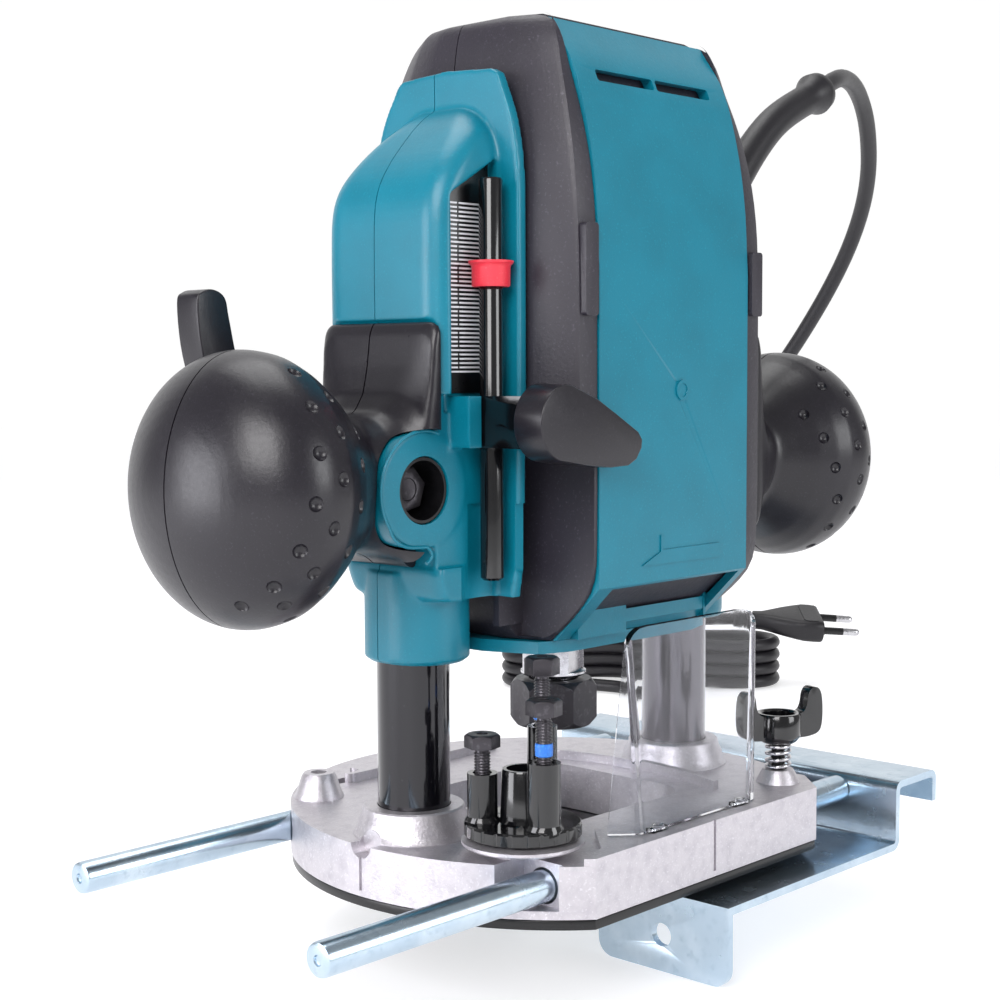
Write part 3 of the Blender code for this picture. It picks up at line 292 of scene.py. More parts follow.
def bevelled(bm, width, segments=2, angle=32):
    host = scratch(bm)
    bevel = host.modifiers.new("bevel", "BEVEL")
    bevel.width = width
    bevel.segments = segments
    bevel.limit_method = "ANGLE"
    bevel.angle_limit = math.radians(angle)
    bevel.use_clamp_overlap = True
    return settle(host)


def piece(name, bm, finish, body, nodes=(), angle=36):
    """A finished piece: millimetres become metres, and it rides on its CAD body, if one is named."""
    bm.transform(Matrix.Scale(MM, 4) @ Matrix.Translation(ORIGIN))
    bmesh.ops.recalc_face_normals(bm, faces=bm.faces)
    mesh = bpy.data.meshes.new(name)
    bm.to_mesh(mesh)
    bm.free()
    mesh.shade_smooth()
    mesh.set_sharp_from_angle(angle=math.radians(angle))
    obj = bpy.data.objects.new(name, mesh)
    bpy.context.scene.collection.objects.link(obj)
    material, slot = FINISH[finish]
    mesh.materials.append(material)
    if body:
        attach(obj, body)
    if nodes:
        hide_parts(*nodes)
    return obj


def dress(finish, *nodes, bevel=0.2):
    """A CAD node that stays as it is gets its finish and slightly broken edges."""
    for node in nodes:
        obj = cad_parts[node]
        for place in obj.material_slots:
            place.material = FINISH[finish][0]
        if bevel:
            modifier = obj.modifiers.new("bevel", "BEVEL")
            modifier.width = bevel * MM
            modifier.segments = 2
            modifier.limit_method = "ANGLE"
            modifier.angle_limit = math.radians(40)


# ---------------------------------------------------------------- materials

class Finish:
    """A node material built up a layer at a time over one Principled shader."""

    def __init__(self, name, colour, roughness, metallic=0.0, **sockets):
        self.material = bpy.data.materials.new(name)
        self.material.use_nodes = True
        self.nodes = self.material.node_tree.nodes
        self.links = self.material.node_tree.links
        self.shader = self.nodes["Principled BSDF"]
        self.shader.inputs["Base Color"].default_value = (*colour, 1.0)
        self.shader.inputs["Roughness"].default_value = roughness
        self.shader.inputs["Metallic"].default_value = metallic
        for socket, value in sockets.items():
            self.shader.inputs[socket.replace("_", " ")].default_value = value
        self.place = self.nodes.new("ShaderNodeTexCoord").outputs["Object"]
        self.colour = None
        self.normal = None

    def node(self, kind, **values):
        made = self.nodes.new(kind)
        for key, value in values.items():
            setattr(made, key, value)
        return made

    def noise(self, scale, detail=3.0, rough=0.55, stretch=None):
        place = self.place
        if stretch:
            mapping = self.node("ShaderNodeMapping")
            mapping.inputs["Scale"].default_value = stretch
            self.links.new(place, mapping.inputs["Vector"])
            place = mapping.outputs["Vector"]
        made = self.node("ShaderNodeTexNoise")
        made.inputs["Scale"].default_value = scale
        made.inputs["Detail"].default_value = detail
        made.inputs["Roughness"].default_value = rough
        self.links.new(place, made.inputs["Vector"])
        return made.outputs["Fac"]

    def cells(self, scale):
        made = self.node("ShaderNodeTexVoronoi")
        made.inputs["Scale"].default_value = scale
        self.links.new(self.place, made.inputs["Vector"])
        return made.outputs["Distance"]

    def ramp(self, value, stops):
        made = self.node("ShaderNodeValToRGB")
        elements = made.color_ramp.elements
        while len(elements) < len(stops):
            elements.new(0.5)
        for element, (position, shade) in zip(elements, stops):
            element.position = position
            element.color = (shade, shade, shade, 1.0) if isinstance(shade, (int, float)) else (*shade, 1.0)
        self.links.new(value, made.inputs["Fac"])
        return made.outputs["Color"]

    def tint(self, mask, colour):
        """Mixes a colour in where a mask is white."""
        mix = self.node("ShaderNodeMix", data_type="RGBA")
        if self.colour:
            self.links.new(self.colour, mix.inputs["A"])
        else:
            mix.inputs["A"].default_value = self.shader.inputs["Base Color"].default_value
        mix.inputs["B"].default_value = (*colour, 1.0)
        self.links.new(mask, mix.inputs["Factor"])
        self.colour = mix.outputs["Result"]
        self.links.new(self.colour, self.shader.inputs["Base Color"])
        return self

    def mottle(self, scale, colour, low=0.45, high=0.7, detail=3.0, stretch=None):
        return self.tint(
            self.ramp(self.noise(scale, detail, stretch=stretch), [(low, 0.0), (high, 1.0)]), colour,
        )

    def bump(self, height, strength, depth):
        made = self.node("ShaderNodeBump")
        made.inputs["Strength"].default_value = strength
        made.inputs["Distance"].default_value = depth * MM
        self.links.new(height, made.inputs["Height"])
        if self.normal:
            self.links.new(self.normal, made.inputs["Normal"])
        self.normal = made.outputs["Normal"]
        self.links.new(self.normal, self.shader.inputs["Normal"])
        return self

    def roughen(self, value, low, high):
        made = self.node("ShaderNodeMapRange")
        made.inputs["To Min"].default_value = low
        made.inputs["To Max"].default_value = high
        self.links.new(value, made.inputs["Value"])
        self.links.new(made.outputs["Result"], self.shader.inputs["Roughness"])
        return self


def plastic(name, colour, light, roughness, grain, depth, slot):
    """A moulded plastic with a fine spark grain and faint mottling."""
    made = Finish(name, colour, roughness)
    made.mottle(60, tuple(c * 0.86 for c in colour), 0.4, 0.75)
    made.mottle(grain * 1.3, light, 0.62, 0.86, 1.0)
    fine = made.noise(grain, 2.0, 0.6)
    made.bump(fine, 0.6, depth)
    made.bump(made.noise(35, 2.0), 0.15, 0.25)
    made.roughen(made.noise(grain * 0.7, 2.0), roughness - 0.07, roughness + 0.09)
    return made.material, slot


def make_finishes():
    made = {
        "teal": plastic("teal_nylon", (0.0, 0.17, 0.25), (0.004, 0.23, 0.32), 0.34, 1500, 0.05, "teal"),
        "dark": plastic(
            "charcoal_shell", (0.022, 0.019, 0.028), (0.06, 0.055, 0.075), 0.42, 1100, 0.10, "dark",
        ),
        "grip": plastic(
            "charcoal_grip", (0.010, 0.0085, 0.013), (0.03, 0.027, 0.037), 0.31, 1500, 0.04, "dark",
        ),
        "black": plastic(
            "black_satin", (0.004, 0.004, 0.005), (0.01, 0.01, 0.012), 0.30, 1400, 0.02, "black",
        ),
        "rubber": plastic(
            "cord_rubber", (0.009, 0.008, 0.011), (0.018, 0.017, 0.022), 0.42, 1300, 0.03, "rubber",
        ),
        "red": plastic("red_pointer", (0.76, 0.035, 0.06), (0.85, 0.10, 0.12), 0.36, 1400, 0.02, "red"),
    }
    gloss = Finish("black_gloss", (0.003, 0.003, 0.004), 0.13, Coat_Weight=0.5, Coat_Roughness=0.06)
    gloss.roughen(gloss.noise(300, 3.0), 0.09, 0.2).bump(gloss.noise(220, 2.0), 0.12, 0.05)
    made["gloss"] = (gloss.material, "black")

    cast = Finish("cast_aluminium", (0.60, 0.575, 0.61), 0.40, 0.82)
    cast.mottle(260, (0.48, 0.455, 0.50), 0.45, 0.8).mottle(1500, (0.74, 0.72, 0.76), 0.58, 0.8, 1.0)
    cast.bump(cast.noise(1100, 3.0, 0.65), 0.75, 0.16).bump(cast.noise(120, 2.0), 0.25, 0.3)
    cast.roughen(cast.noise(900, 2.0), 0.30, 0.52)
    made["cast"] = (cast.material, "cast")

    for name, colour, rough in (
        ("column_dark", (0.008, 0.0075, 0.011), 0.12), ("column_grey", (0.14, 0.13, 0.15), 0.2),
    ):
        tube = Finish(name, colour, rough, 0.55, Coat_Weight=0.6, Coat_Roughness=0.08)
        tube.roughen(tube.noise(420, 3.0, stretch=(1, 1, 0.05)), rough - 0.05, rough + 0.08)
        tube.bump(tube.noise(900, 2.0, stretch=(1, 1, 0.04)), 0.12, 0.02)
        tube.tint(tube.ramp(tube.cells(420), [(0.0, 1.0), (0.05, 0.0)]), (0.35, 0.34, 0.37))
        made[name] = (tube.material, "chrome" if name == "column_dark" else "column_grey")

    zinc = Finish("zinc_plate", (0.47, 0.58, 0.68), 0.24, 0.95)
    zinc.mottle(90, (0.60, 0.70, 0.78), 0.45, 0.75).mottle(420, (0.36, 0.47, 0.58), 0.55, 0.85)
    zinc.roughen(zinc.noise(160, 4.0), 0.15, 0.34).bump(zinc.noise(700, 3.0), 0.18, 0.04)
    made["zinc"] = (zinc.material, "zinc")

    steel = Finish("bright_steel", (0.62, 0.615, 0.64), 0.24, 1.0)
    steel.mottle(500, (0.45, 0.44, 0.47), 0.5, 0.8)
    steel.roughen(steel.noise(900, 3.0), 0.16, 0.34).bump(steel.noise(1400, 2.0), 0.2, 0.03)
    made["steel"] = (steel.material, "steel")

    iron = Finish("black_oxide", (0.060, 0.056, 0.064), 0.34, 0.75)
    iron.mottle(700, (0.13, 0.125, 0.14), 0.55, 0.85)
    iron.roughen(iron.noise(800, 3.0), 0.24, 0.46).bump(iron.noise(900, 3.0), 0.3, 0.06)
    made["iron"] = (iron.material, "iron")

    lock = Finish("thread_lock", (0.02, 0.16, 0.62), 0.32)
    lock.mottle(1500, (0.05, 0.30, 0.80), 0.5, 0.8).bump(lock.noise(1200, 2.0), 0.5, 0.1)
    made["blue"] = (lock.material, "steel")

    brass = Finish("brass", (0.66, 0.47, 0.18), 0.3, 1.0)
    brass.roughen(brass.noise(700, 3.0), 0.2, 0.4)
    made["brass"] = (brass.material, "brass")
    copper = Finish("copper_windings", (0.58, 0.26, 0.12), 0.35, 0.9)
    copper.roughen(copper.noise(900, 3.0), 0.25, 0.45)
    made["copper"] = (copper.material, "copper")

    clear = Finish("clear_polycarbonate", (0.93, 0.94, 0.97), 0.03, Transmission_Weight=1.0, IOR=1.30)
    dust = clear.ramp(clear.cells(260), [(0.0, 0.75), (0.035, 0.0)])
    clear.tint(dust, (1.0, 1.0, 1.0))
    clear.roughen(clear.ramp(clear.noise(45, 4.0), [(0.5, 0.0), (0.8, 1.0)]), 0.02, 0.10)
    made["clear"] = (clear.material, "clear")
    silver = Finish("scale_silver", (0.80, 0.80, 0.84), 0.45)
    silver.roughen(silver.noise(900, 2.0), 0.35, 0.55)
    made["silver"] = (silver.material, "steel")
    return made


FINISH = make_finishes()


# ---------------------------------------------------------------- supply cord

CORD_DIAMETER = 5.7
GUARD_ROUTE = (
    (63.4, 0.0, 162.5), (69.0, 0.0, 163.5), (80.0, 0.0, 181.5), (100.0, 0.0, 201.0), (126.0, 0.0, 214.0),
)
CORD_ROUTE = (
    (126.6, 0.0, 214.3), (138.0, 2.0, 219.0), (150.0, 6.0, 221.5), (163.0, 10.5, 221.5),
    (176.0, 15.5, 218.8), (188.0, 20.5, 213.5), (199.0, 26.0, 206.5), (209.0, 32.0, 198.5),
    (218.0, 39.0, 189.5), (225.5, 47.0, 179.5), (231.0, 56.0, 168.0), (235.0, 66.5, 155.0),
    (237.5, 78.0, 141.0), (239.0, 90.5, 126.0), (240.0, 103.5, 108.0), (241.5, 116.0, 88.0),
    (244.0, 127.5, 66.0), (247.5, 138.0, 44.0), (252.0, 147.5, 23.0), (257.5, 156.5, 5.0),
    (264.0, 165.5, -9.0), (270.5, 173.5, -17.5), (276.2, 182.0, -20.6),
)
HANK = Matrix.Translation((309.7, 215.4, 0.0)) @ Matrix.Rotation(math.radians(-47.0), 4, "Z")
HANK_FOLD = 47.0
HANK_SIDE = 17.15
HANK_PITCH = 5.75
HANK_FLOOR = -20.7
HANK_LAYERS = 5
RUN_STEPS = 20
TAIL_STEPS = 25


def plug_frame():
    """Where the plug lies: its own +X is the way the pins point."""
    return (
        Matrix.Translation((366.4, 150.9, 5.0)) @ Matrix.Rotation(math.radians(-46.0), 4, "Z")
        @ Matrix.Rotation(math.radians(4.0), 4, "Y") @ Matrix.Rotation(math.radians(13.0), 4, "X")
    )


def ease(t):
    t = min(max(t, 0.0), 1.0)
    return t * t * (3 - 2 * t)


def hank_turn(floor, rises):
    """One turn along the hank: near fold, far side, far fold, and the near side climbing a strand."""
    made = [(*p, floor) for p in arc(-HANK_FOLD, 0.0, HANK_SIDE, 270, 90, 16)]
    if not rises:
        return made
    made += [(-HANK_FOLD + 2 * HANK_FOLD * i / RUN_STEPS, HANK_SIDE, floor) for i in range(1, RUN_STEPS)]
    made += [(*p, floor) for p in arc(HANK_FOLD, 0.0, HANK_SIDE, 90, -90, 16)]
    for i in range(1, RUN_STEPS):
        a = HANK_FOLD - 2 * HANK_FOLD * i / RUN_STEPS
        made.append((a, -HANK_SIDE, floor + HANK_PITCH * ease((42.0 - a) / 62.0)))
    return made


def cord_path():
    """From the guard, round to the floor, along the hank's turns and into the plug."""
    inward = [(-8.6, -30.4), (-18.0, -23.6), (-29.0, -18.9), (-38.0, -17.3)]
    lead = curve_through([*CORD_ROUTE, *(HANK @ Vector((a, b, HANK_FLOOR)) for a, b in inward)], 6)
    turns = []
    for layer in range(HANK_LAYERS):
        turns += hank_turn(HANK_FLOOR + HANK_PITCH * layer, layer < HANK_LAYERS - 1)
    top = HANK_FLOOR + HANK_PITCH * (HANK_LAYERS - 1)
    tail = HANK.inverted() @ plug_frame() @ Vector((-41.0, 0.0, 0.0))
    for i in range(1, TAIL_STEPS):
        t = i / TAIL_STEPS
        a = -HANK_FOLD + (tail.x + HANK_FOLD) * t
        turns.append((a, HANK_SIDE + (tail.y - HANK_SIDE) * ease(t), top + (tail.z - top) * ease(t)))
    turns.append(tuple(tail))
    wavy = []
    for i, p in enumerate(turns):
        sway = 0.35 * noise.noise(Vector((i * 0.06, 3.1, 0.0)))
        wavy.append(HANK @ Vector((p[0], p[1] + sway, p[2])))
    return lead + wavy


def make_cord():
    path = cord_path()
    even = [path[0]]
    for point in path[1:]:
        if (point - even[-1]).length > 1.2:
            even.append(point)
    cord = piece(
        "mains_cord", sweep(even, CORD_DIAMETER / 2, 20), "rubber", None, ("supply_cord", "cord_hank"),
    )
    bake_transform(cord)
    body = make_plug()
    make_pins()
    make_guard()


def make_plug():
    sections = []
    shape = (
        (-42.0, 3.5, 3.3), (-41.2, 3.9, 3.6), (-34.0, 4.1, 3.8), (-28.0, 4.6, 4.0), (-24.0, 6.6, 4.3),
        (-18.0, 9.8, 4.7), (-12.0, 12.5, 5.0), (-9.0, 13.4, 5.2), (-5.0, 13.6, 5.25), (-1.4, 13.5, 5.25),
        (-0.4, 13.1, 4.9), (0.0, 12.4, 4.3),
    )
    for x, half_width, half_height in shape:
        outline = rounded(-half_width, -half_height, half_width, half_height, min(3.2, half_height * 0.75), 6)
        sections.append([plug_frame() @ Vector((x, y, z)) for y, z in outline])
    ribs = []
    for x in (-33.5, -37.0):
        outer = lathe([(5.2, 0), (5.2, 1.2), (3.0, 1.2), (3.0, 0), (5.2, 0)], (0, 0, 0), TO_RIGHT, 32)
        outer.transform(plug_frame() @ Matrix.Translation((x, 0, 0)))
        ribs.append(outer)
    ledge = slab(rounded(-9.5, -10.8, -2.2, 10.8, 2.0), 5.0, 5.45, plug_frame())
    body = cut(skin(sections), *ribs)
    return piece("plug_moulding", add(body, ledge), "rubber", "base", ("plug_body",))


def make_pins():
    made = []
    for number, side in ((1, -1), (2, 1)):
        start = plug_frame() @ Vector((0.0, side * 8.8, 0.0))
        along = plug_frame().to_3x3() @ Vector((1.0, -side * 0.02, 0.0))
        sleeve = lathe(
            [(0, -0.6), (2.3, -0.6), (2.3, 0.6), (1.75, 0.9), (1.75, 9.6), (0, 9.6)], start, along, 32,
        )
        made.append(piece(f"pin_sleeve_{number}", sleeve, "black", "base", (f"plug_pin_{number}",)))
        tip = [(0, 9.0), (1.72, 9.0), (1.72, 15.6), (1.5, 16.7), (0.9, 17.3), (0, 17.5)]
        made.append(piece(f"pin_tip_{number}", lathe(tip, start, along, 32), "steel", "base"))
    return made


def make_guard():
    """The bent rubber sleeve, thinning along its length, with a flared mouth."""
    points = curve_through(GUARD_ROUTE, 10)
    count = len(points)
    radii = [5.3 - 0.7 * i / count for i in range(count)]
    for back, radius in ((1, 6.0), (2, 6.5), (3, 5.2), (4, 4.7)):
        radii[-back] = radius
    guard = bevelled(sweep(points, radii, 36), 0.3, 2, 50)
    return piece("cord_sleeve", guard, "rubber", "motor_unit", ("cord_guard",))


make_cord()


# ---------------------------------------------------------------- moulded halves

def halves(name, bm, finish, body, nodes, gap=0.14):
    """A moulding in two halves that meet in the plane of the collet axis."""
    front = combine(bm.copy(), ("keep", block((-220, -200, -60), (220, -gap, 320))))
    rear = combine(bm, ("keep", block((-220, gap, -60), (220, 200, 320))))
    piece(name + "_front_half", front, finish, body, nodes[:1], 50)
    piece(name + "_rear_half", rear, finish, body, nodes[1:], 50)


# ---------------------------------------------------------------- motor housing

SHELL_LEVELS = (
    # height, half width, front, rear
    (62.3, 34.0, -26.0, 35.0), (70.0, 37.2, -34.5, 38.5), (78.0, 39.3, -39.6, 41.0),
    (92.0, 40.0, -40.4, 42.0),
    (120.0, 40.0, -40.4, 42.0), (150.0, 40.0, -40.3, 42.0), (166.0, 39.9, -39.6, 41.8),
    (179.0, 39.2, -37.8, 40.4),
    (190.0, 38.0, -35.0, 38.0), (199.0, 36.6, -32.0, 34.6), (206.0, 35.5, -29.8, 31.2),
    (210.2, 34.4, -27.4, 28.4),
    (212.2, 33.0, -25.2, 26.2), (212.9, 31.2, -23.0, 24.0),
)
COVER_HALF = 30.0


def shell_ring(z, half, front, rear, inset=0.0):
    depth = rear - front
    rim = min(COVER_HALF + 0.4, half - 2.0)
    side = [
        (rim, front), (half - 3.9, front + 0.5), (half - 3.2, front + 1.6),
        (half - 1.2, front + 0.135 * depth),
        (half - 0.9, front + 0.155 * depth), (half, front + 0.2 * depth), (half, rear - 0.4 * depth),
        (half - 0.3, rear - 0.37 * depth), (half - 1.8, rear - 0.26 * depth),
        (half - 2.6, rear - 0.235 * depth),
        (half - 8.0, rear - 0.1 * depth), (half - 9.4, rear - 0.08 * depth),
        (half - 18.0, rear - 0.015 * depth),
        (half - 20.0, rear),
    ]
    side = [(x - inset, y + inset * (1 if y < 0 else -1)) for x, y in side]
    middle = [(0.0, rear - inset, z)]
    return [(x, y, z) for x, y in side] + middle + [(-x, y, z) for x, y in reversed(side)]


def shell_solid(inset=0.0, low=None, high=None):
    rings = []
    for level in curve_through(SHELL_LEVELS, 3):
        z, half, front, rear = level
        z = min(max(z, low or z), high or z)
        rings.append(shell_ring(z, half, front, rear, inset))
    return skin(rings)


COVER_PROFILE = (
    # y and z, up the outer face
    (-27.0, 62.2), (-40.8, 76.0), (-40.8, 152.0), (-39.7, 170.0), (-37.0, 186.0), (-32.6, 200.0),
    (-25.2, 211.4),
)


def cover_line():
    return [*COVER_PROFILE[:2], *((p.x, p.y) for p in curve_through(COVER_PROFILE[2:], 6))]


def across(outline, half_width):
    return slab(outline, -half_width, half_width, YZ)


def make_shell():
    body = shell_solid()
    room = [(-60.0, 50.0), (-22.0, 50.0), (-22.0, 61.9)]
    room += [(y + 3.4, z) for y, z in cover_line()[1:]] + [(-20.5, 218.0), (-60.0, 218.0)]
    body = combine(
        body,
        ("cut", shell_solid(3.0, 65.0, 211.0)),
        ("cut", rod((0, 0, 50.0), 12.0, 30.0)),
        ("cut", across(room, COVER_HALF + 0.3)),
        ("add", slab(rounded(-35.6, 140.5, -31.0, 162.0, 0.9), -41.5, -39.5, XZ)),
        ("add", slab(rounded(31.0, 141.5, 35.6, 158.0, 0.9), -41.5, -39.5, XZ)),
        ("cut", slab([(-44.0, 63.0), (-31.3, 63.0), (-31.3, 118.0), (-44.0, 118.0)], -62.0, -17.0, XZ)),
        ("cut", rod((-48.0, -32.5, 50.0), 14.5, 46.5)),
        ("add", slab([(-39.9, 66.0), (-30.2, 66.0), (-30.2, 119.0), (-39.9, 119.0)], -17.6, -15.6, XZ)),
    )
    for i in range(5):
        z = 184.0 + 4.4 * i
        body = cut(body, block((-17.0, 20.0, z), (17.0, 60.0, z + 1.9)))
    halves("housing", bevelled(body, 0.45, 3, 26), "dark", "motor_unit", ("shell_front", "shell_rear"))


def make_cover():
    """The curved front cover: two vent slots, a round mark, a raised corner mark and the duct's mouth."""
    outer = cover_line()
    inner = [(y + 3.0, z + (0.6 if i == 0 else -0.2)) for i, (y, z) in enumerate(outer)]
    body = across(outer + inner[::-1], COVER_HALF)
    mark = [(-14.0, 80.2), (18.0, 80.0), (18.0, 83.6), (-5.8, 83.6), (-5.8, 87.2), (-6.6, 87.2), (-6.6, 83.2)]
    body = combine(
        body,
        ("cut", slab(rounded(-22.4, 196.4, -0.5, 199.2, 0.8), -60.0, -10.0, XZ)),
        ("cut", slab(rounded(0.5, 196.4, 22.4, 199.2, 0.8), -60.0, -10.0, XZ)),
        ("cut", block((-24.4, -60.0, 50.0), (27.4, -29.4, 75.4))),
        ("cut", block((-24.4, -60.0, 50.0), (27.4, -20.0, 62.0))),
        ("add", block((-24.6, -38.4, 75.4), (27.6, -27.0, 76.8))),
        ("add", block((-24.6, -29.6, 62.2), (-6.0, -26.6, 75.8))),
        ("add", block((26.6, -29.6, 62.2), (27.6, -26.6, 75.8))),
        ("add", rod((2.0, -41.25, 122.8), 2.5, 1.0, TO_REAR)),
        ("cut", rod((2.0, -41.6, 122.8), 1.7, 0.6, TO_REAR)),
        ("add", slab(mark, -41.15, -40.0, XZ)),
    )
    piece("cover_shell", bevelled(body, 0.5, 3, 24), "teal", "motor_unit", ("front_cover",))
    grille = add(
        block((-24.0, -28.4, 193.6), (24.0, -27.0, 200.8)),
        block((-23.4, -31.0, 194.4), (23.4, -28.0, 195.6)),
    )
    piece("vent_grille", bevelled(grille, 0.15), "black", "motor_unit")
    duct = cut(
        block((-7.4, -26.4, 62.4), (27.8, -16.0, 76.6)), block((-6.0, -50.0, 63.6), (26.6, -18.0, 75.4)),
    )
    piece("duct_lining", bevelled(duct, 0.2), "black", "motor_unit")


def make_bracket():
    outline = [(-33.0, -24.0), (-24.0, -27.0), (24.0, -27.0), (33.0, -24.0)]
    outline += [(38.0, -10.0), (38.0, 20.0), (24.0, 32.0), (-24.0, 32.0), (-38.0, 20.0), (-38.0, -10.0)]
    plate = slab(outline, 59.0, 62.0)
    nose = lathe([(0, 57.2), (15.5, 57.2), (17.2, 58.2), (17.2, 60.0), (0, 60.0)], sides=96)
    plate = combine(plate, ("add", nose), ("cut", rod((0, 0, 50.0), 11.5, 30.0, sides=96)))
    piece("foot_plate", bevelled(plate, 0.7, 3), "teal", "motor_unit", ("motor_bracket",))
    seal = lathe([(11.3, 57.6), (11.3, 60.9), (9.3, 60.9), (9.3, 58.4), (10.0, 57.6), (11.3, 57.6)], sides=80)
    piece("bearing_seal", seal, "black", "motor_unit")


make_shell()
make_cover()
make_bracket()


# ---------------------------------------------------------------- side towers

TOWER_LEVELS = (
    # height, reach from the collet axis, front, rear
    (74.0, 60.6, -21.2, 13.4), (75.4, 61.8, -22.0, 14.4), (79.8, 62.8, -22.8, 15.4),
    (81.0, 62.8, -22.6, 15.4),
    (82.2, 63.0, -22.0, 16.0), (86.0, 63.3, -21.8, 18.0), (100.0, 63.3, -21.6, 19.4),
    (140.0, 63.6, -21.6, 19.4),
    (156.0, 63.6, -21.6, 19.4), (165.0, 63.3, -21.6, 19.2), (171.0, 61.8, -21.4, 18.4),
    (176.5, 58.4, -21.0, 16.6),
    (182.0, 53.6, -19.6, 14.0), (186.0, 49.6, -17.0, 10.8), (188.8, 46.0, -13.6, 7.6),
    (190.6, 42.8, -9.0, 4.0),
)


def tower_ring(z, reach, front, rear, inner):
    """Drawn for the left tower; its two outer corners are round."""
    corner = min(5.6, (reach - 40.0) * 0.6)
    back = min(7.0, (reach - 40.0) * 0.75)
    points = [(-inner, rear), (-inner, front)]
    points += arc(-reach + corner, front + corner, corner, 270, 180, 8)
    points += arc(-reach + back, rear - back, back, 180, 90, 8)
    return [(x, y, z) for x, y in points]


def flange():
    """The flat panel that each tower grows from, drawn for the left."""
    outline = curve_through(
        [(-26.4, 82.0), (-27.2, 120.0), (-27.3, 160.0), (-26.9, 176.0), (-25.0, 186.6), (-21.6, 195.4)], 5,
    )
    outline = [(-25.0, 74.0)] + [(p.x, p.y) for p in outline]
    outline += [(-20.6, 197.6), (-18.6, 198.6), (-3.8, 199.6), (11.0, 198.8), (12.8, 197.8)]
    outline += [
        (p.x, p.y) for p in curve_through([(14.0, 195.8), (18.2, 188.4), (21.0, 178.0), (22.0, 160.0)], 4)
    ]
    outline += [(22.0, 90.0), (20.5, 74.0)]
    return slab(outline, -43.2, -40.3, YZ)


def tower_blank():
    body = skin([tower_ring(*level, 40.3) for level in (tuple(v) for v in curve_through(TOWER_LEVELS, 3))])
    collar = slab(rounded(-63.7, -14.7, -40.3, 11.7, 11.69, 20), 58.6, 80.0)
    foot = [(-63.7 + 1.2, -14.7 + 1.2), (-40.3 - 1.2, 11.7 - 1.2)]
    collar = add(collar, slab(rounded(*foot[0], *foot[1], 10.49, 20), 57.9, 58.7))
    return combine(
        body, ("add", flange()), ("add", collar), ("cut", block((-90.0, -60.0, 81.6), (-62.3, 40.0, 139.6))),
    )


def mirrored(bm):
    bm.transform(Matrix.Scale(-1, 4, TO_RIGHT))
    bmesh.ops.reverse_faces(bm, faces=bm.faces)
    return bm


def column_bore(x):
    return rod((x, 0, 50.0), 9.15, 118.6, sides=96)


def make_towers():
    blank = tower_blank()
    right = mirrored(blank.copy())
    right = cut(soften(right, 0.8, 4), column_bore(COLUMN_X))
    halves("tower_right", right, "teal", "motor_unit", ("tower_right_front", "tower_right_rear"), 0.12)

    channel = [(-59.2, 118.0), (-43.4, 118.0), (-43.4, 177.6), (-59.2, 168.4)]
    boss = rod((LOCK_X, -4.1, LOCK_Z), 13.6, 14.6, TO_FRONT, sides=96)
    left = combine(
        blank,
        ("cut", slab(channel, -60.0, -17.4, XZ)),
        ("cut", block((-90.0, -60.0, 82.0), (-43.3, -18.5, 122.4))),
        ("cut", block((-90.0, -60.0, 72.0), (-43.3, -20.2, 82.1))),
        ("add", block((-57.6, -25.0, 110.0), (-53.5, -17.0, 122.0))),
        ("add", boss),
    )
    left = soften(left, 0.5, 4)
    turret_room = combine(
        rod((*TURRET, 50.0), 14.5, 46.5, sides=96), ("keep", block((-90, -60, 40), (-43.5, 0, 100))),
    )
    left = combine(
        left,
        ("cut", block((-53.4, -60.0, 109.6), (-43.4, -18.2, 122.4))),
        ("cut", turret_room),
        ("cut", block((-43.6, -60.0, 50.0), (-38.0, -25.9, 96.5))),
        ("cut", rod((LOCK_X, -40.0, LOCK_Z), 3.6, 80.0, TO_REAR)),
        ("cut", rod((LOCK_X, -50.0, LOCK_Z), 7.9, 41.4, TO_REAR, sides=96)),
        ("cut", column_bore(-COLUMN_X)),
    )
    halves("tower_left", left, "teal", "motor_unit", ("tower_left_front", "tower_left_rear"), 0.12)
    liner = lathe(
        [(6.9, 0), (7.6, 0), (7.6, 9.2), (3.7, 9.2), (3.7, 8.8), (6.9, 8.8), (6.9, 0)],
        (LOCK_X, -18.2, LOCK_Z), TO_REAR, 64,
    )
    piece("lock_well", liner, "black", "motor_unit")
    lip = [
        (-75.6, 89.8), (-71.8, 87.9), (-67.2, 87.5), (-65.2, 87.3), (-63.9, 86.0), (-64.1, 84.6),
        (-65.6, 83.6),
    ]
    around = [polar((LOCK_X, LOCK_Z), 13.7, turn) for turn in range(70, 226, 8)]
    rim = curve_through([(x, -18.7, z) for x, z in around[:-1] + lip], 3)
    piece("lock_boss_lip", sweep(rim, 0.42, 12), "teal", "motor_unit")


make_towers()


# ---------------------------------------------------------------- knobs

def knob_line():
    outer = [
        (31.0 * math.sin(math.radians(a)), 104.0 + 21.0 * math.cos(math.radians(a))) for a in range(0, 97, 6)
    ]
    inner = [
        (30.3, 98.6), (28.4, 94.6), (25.2, 89.8), (21.2, 84.9), (17.9, 80.4), (16.2, 76.0), (15.8, 70.0),
        (15.8, 66.0),
    ]
    return [*outer, *inner, (0.0, 66.0)]


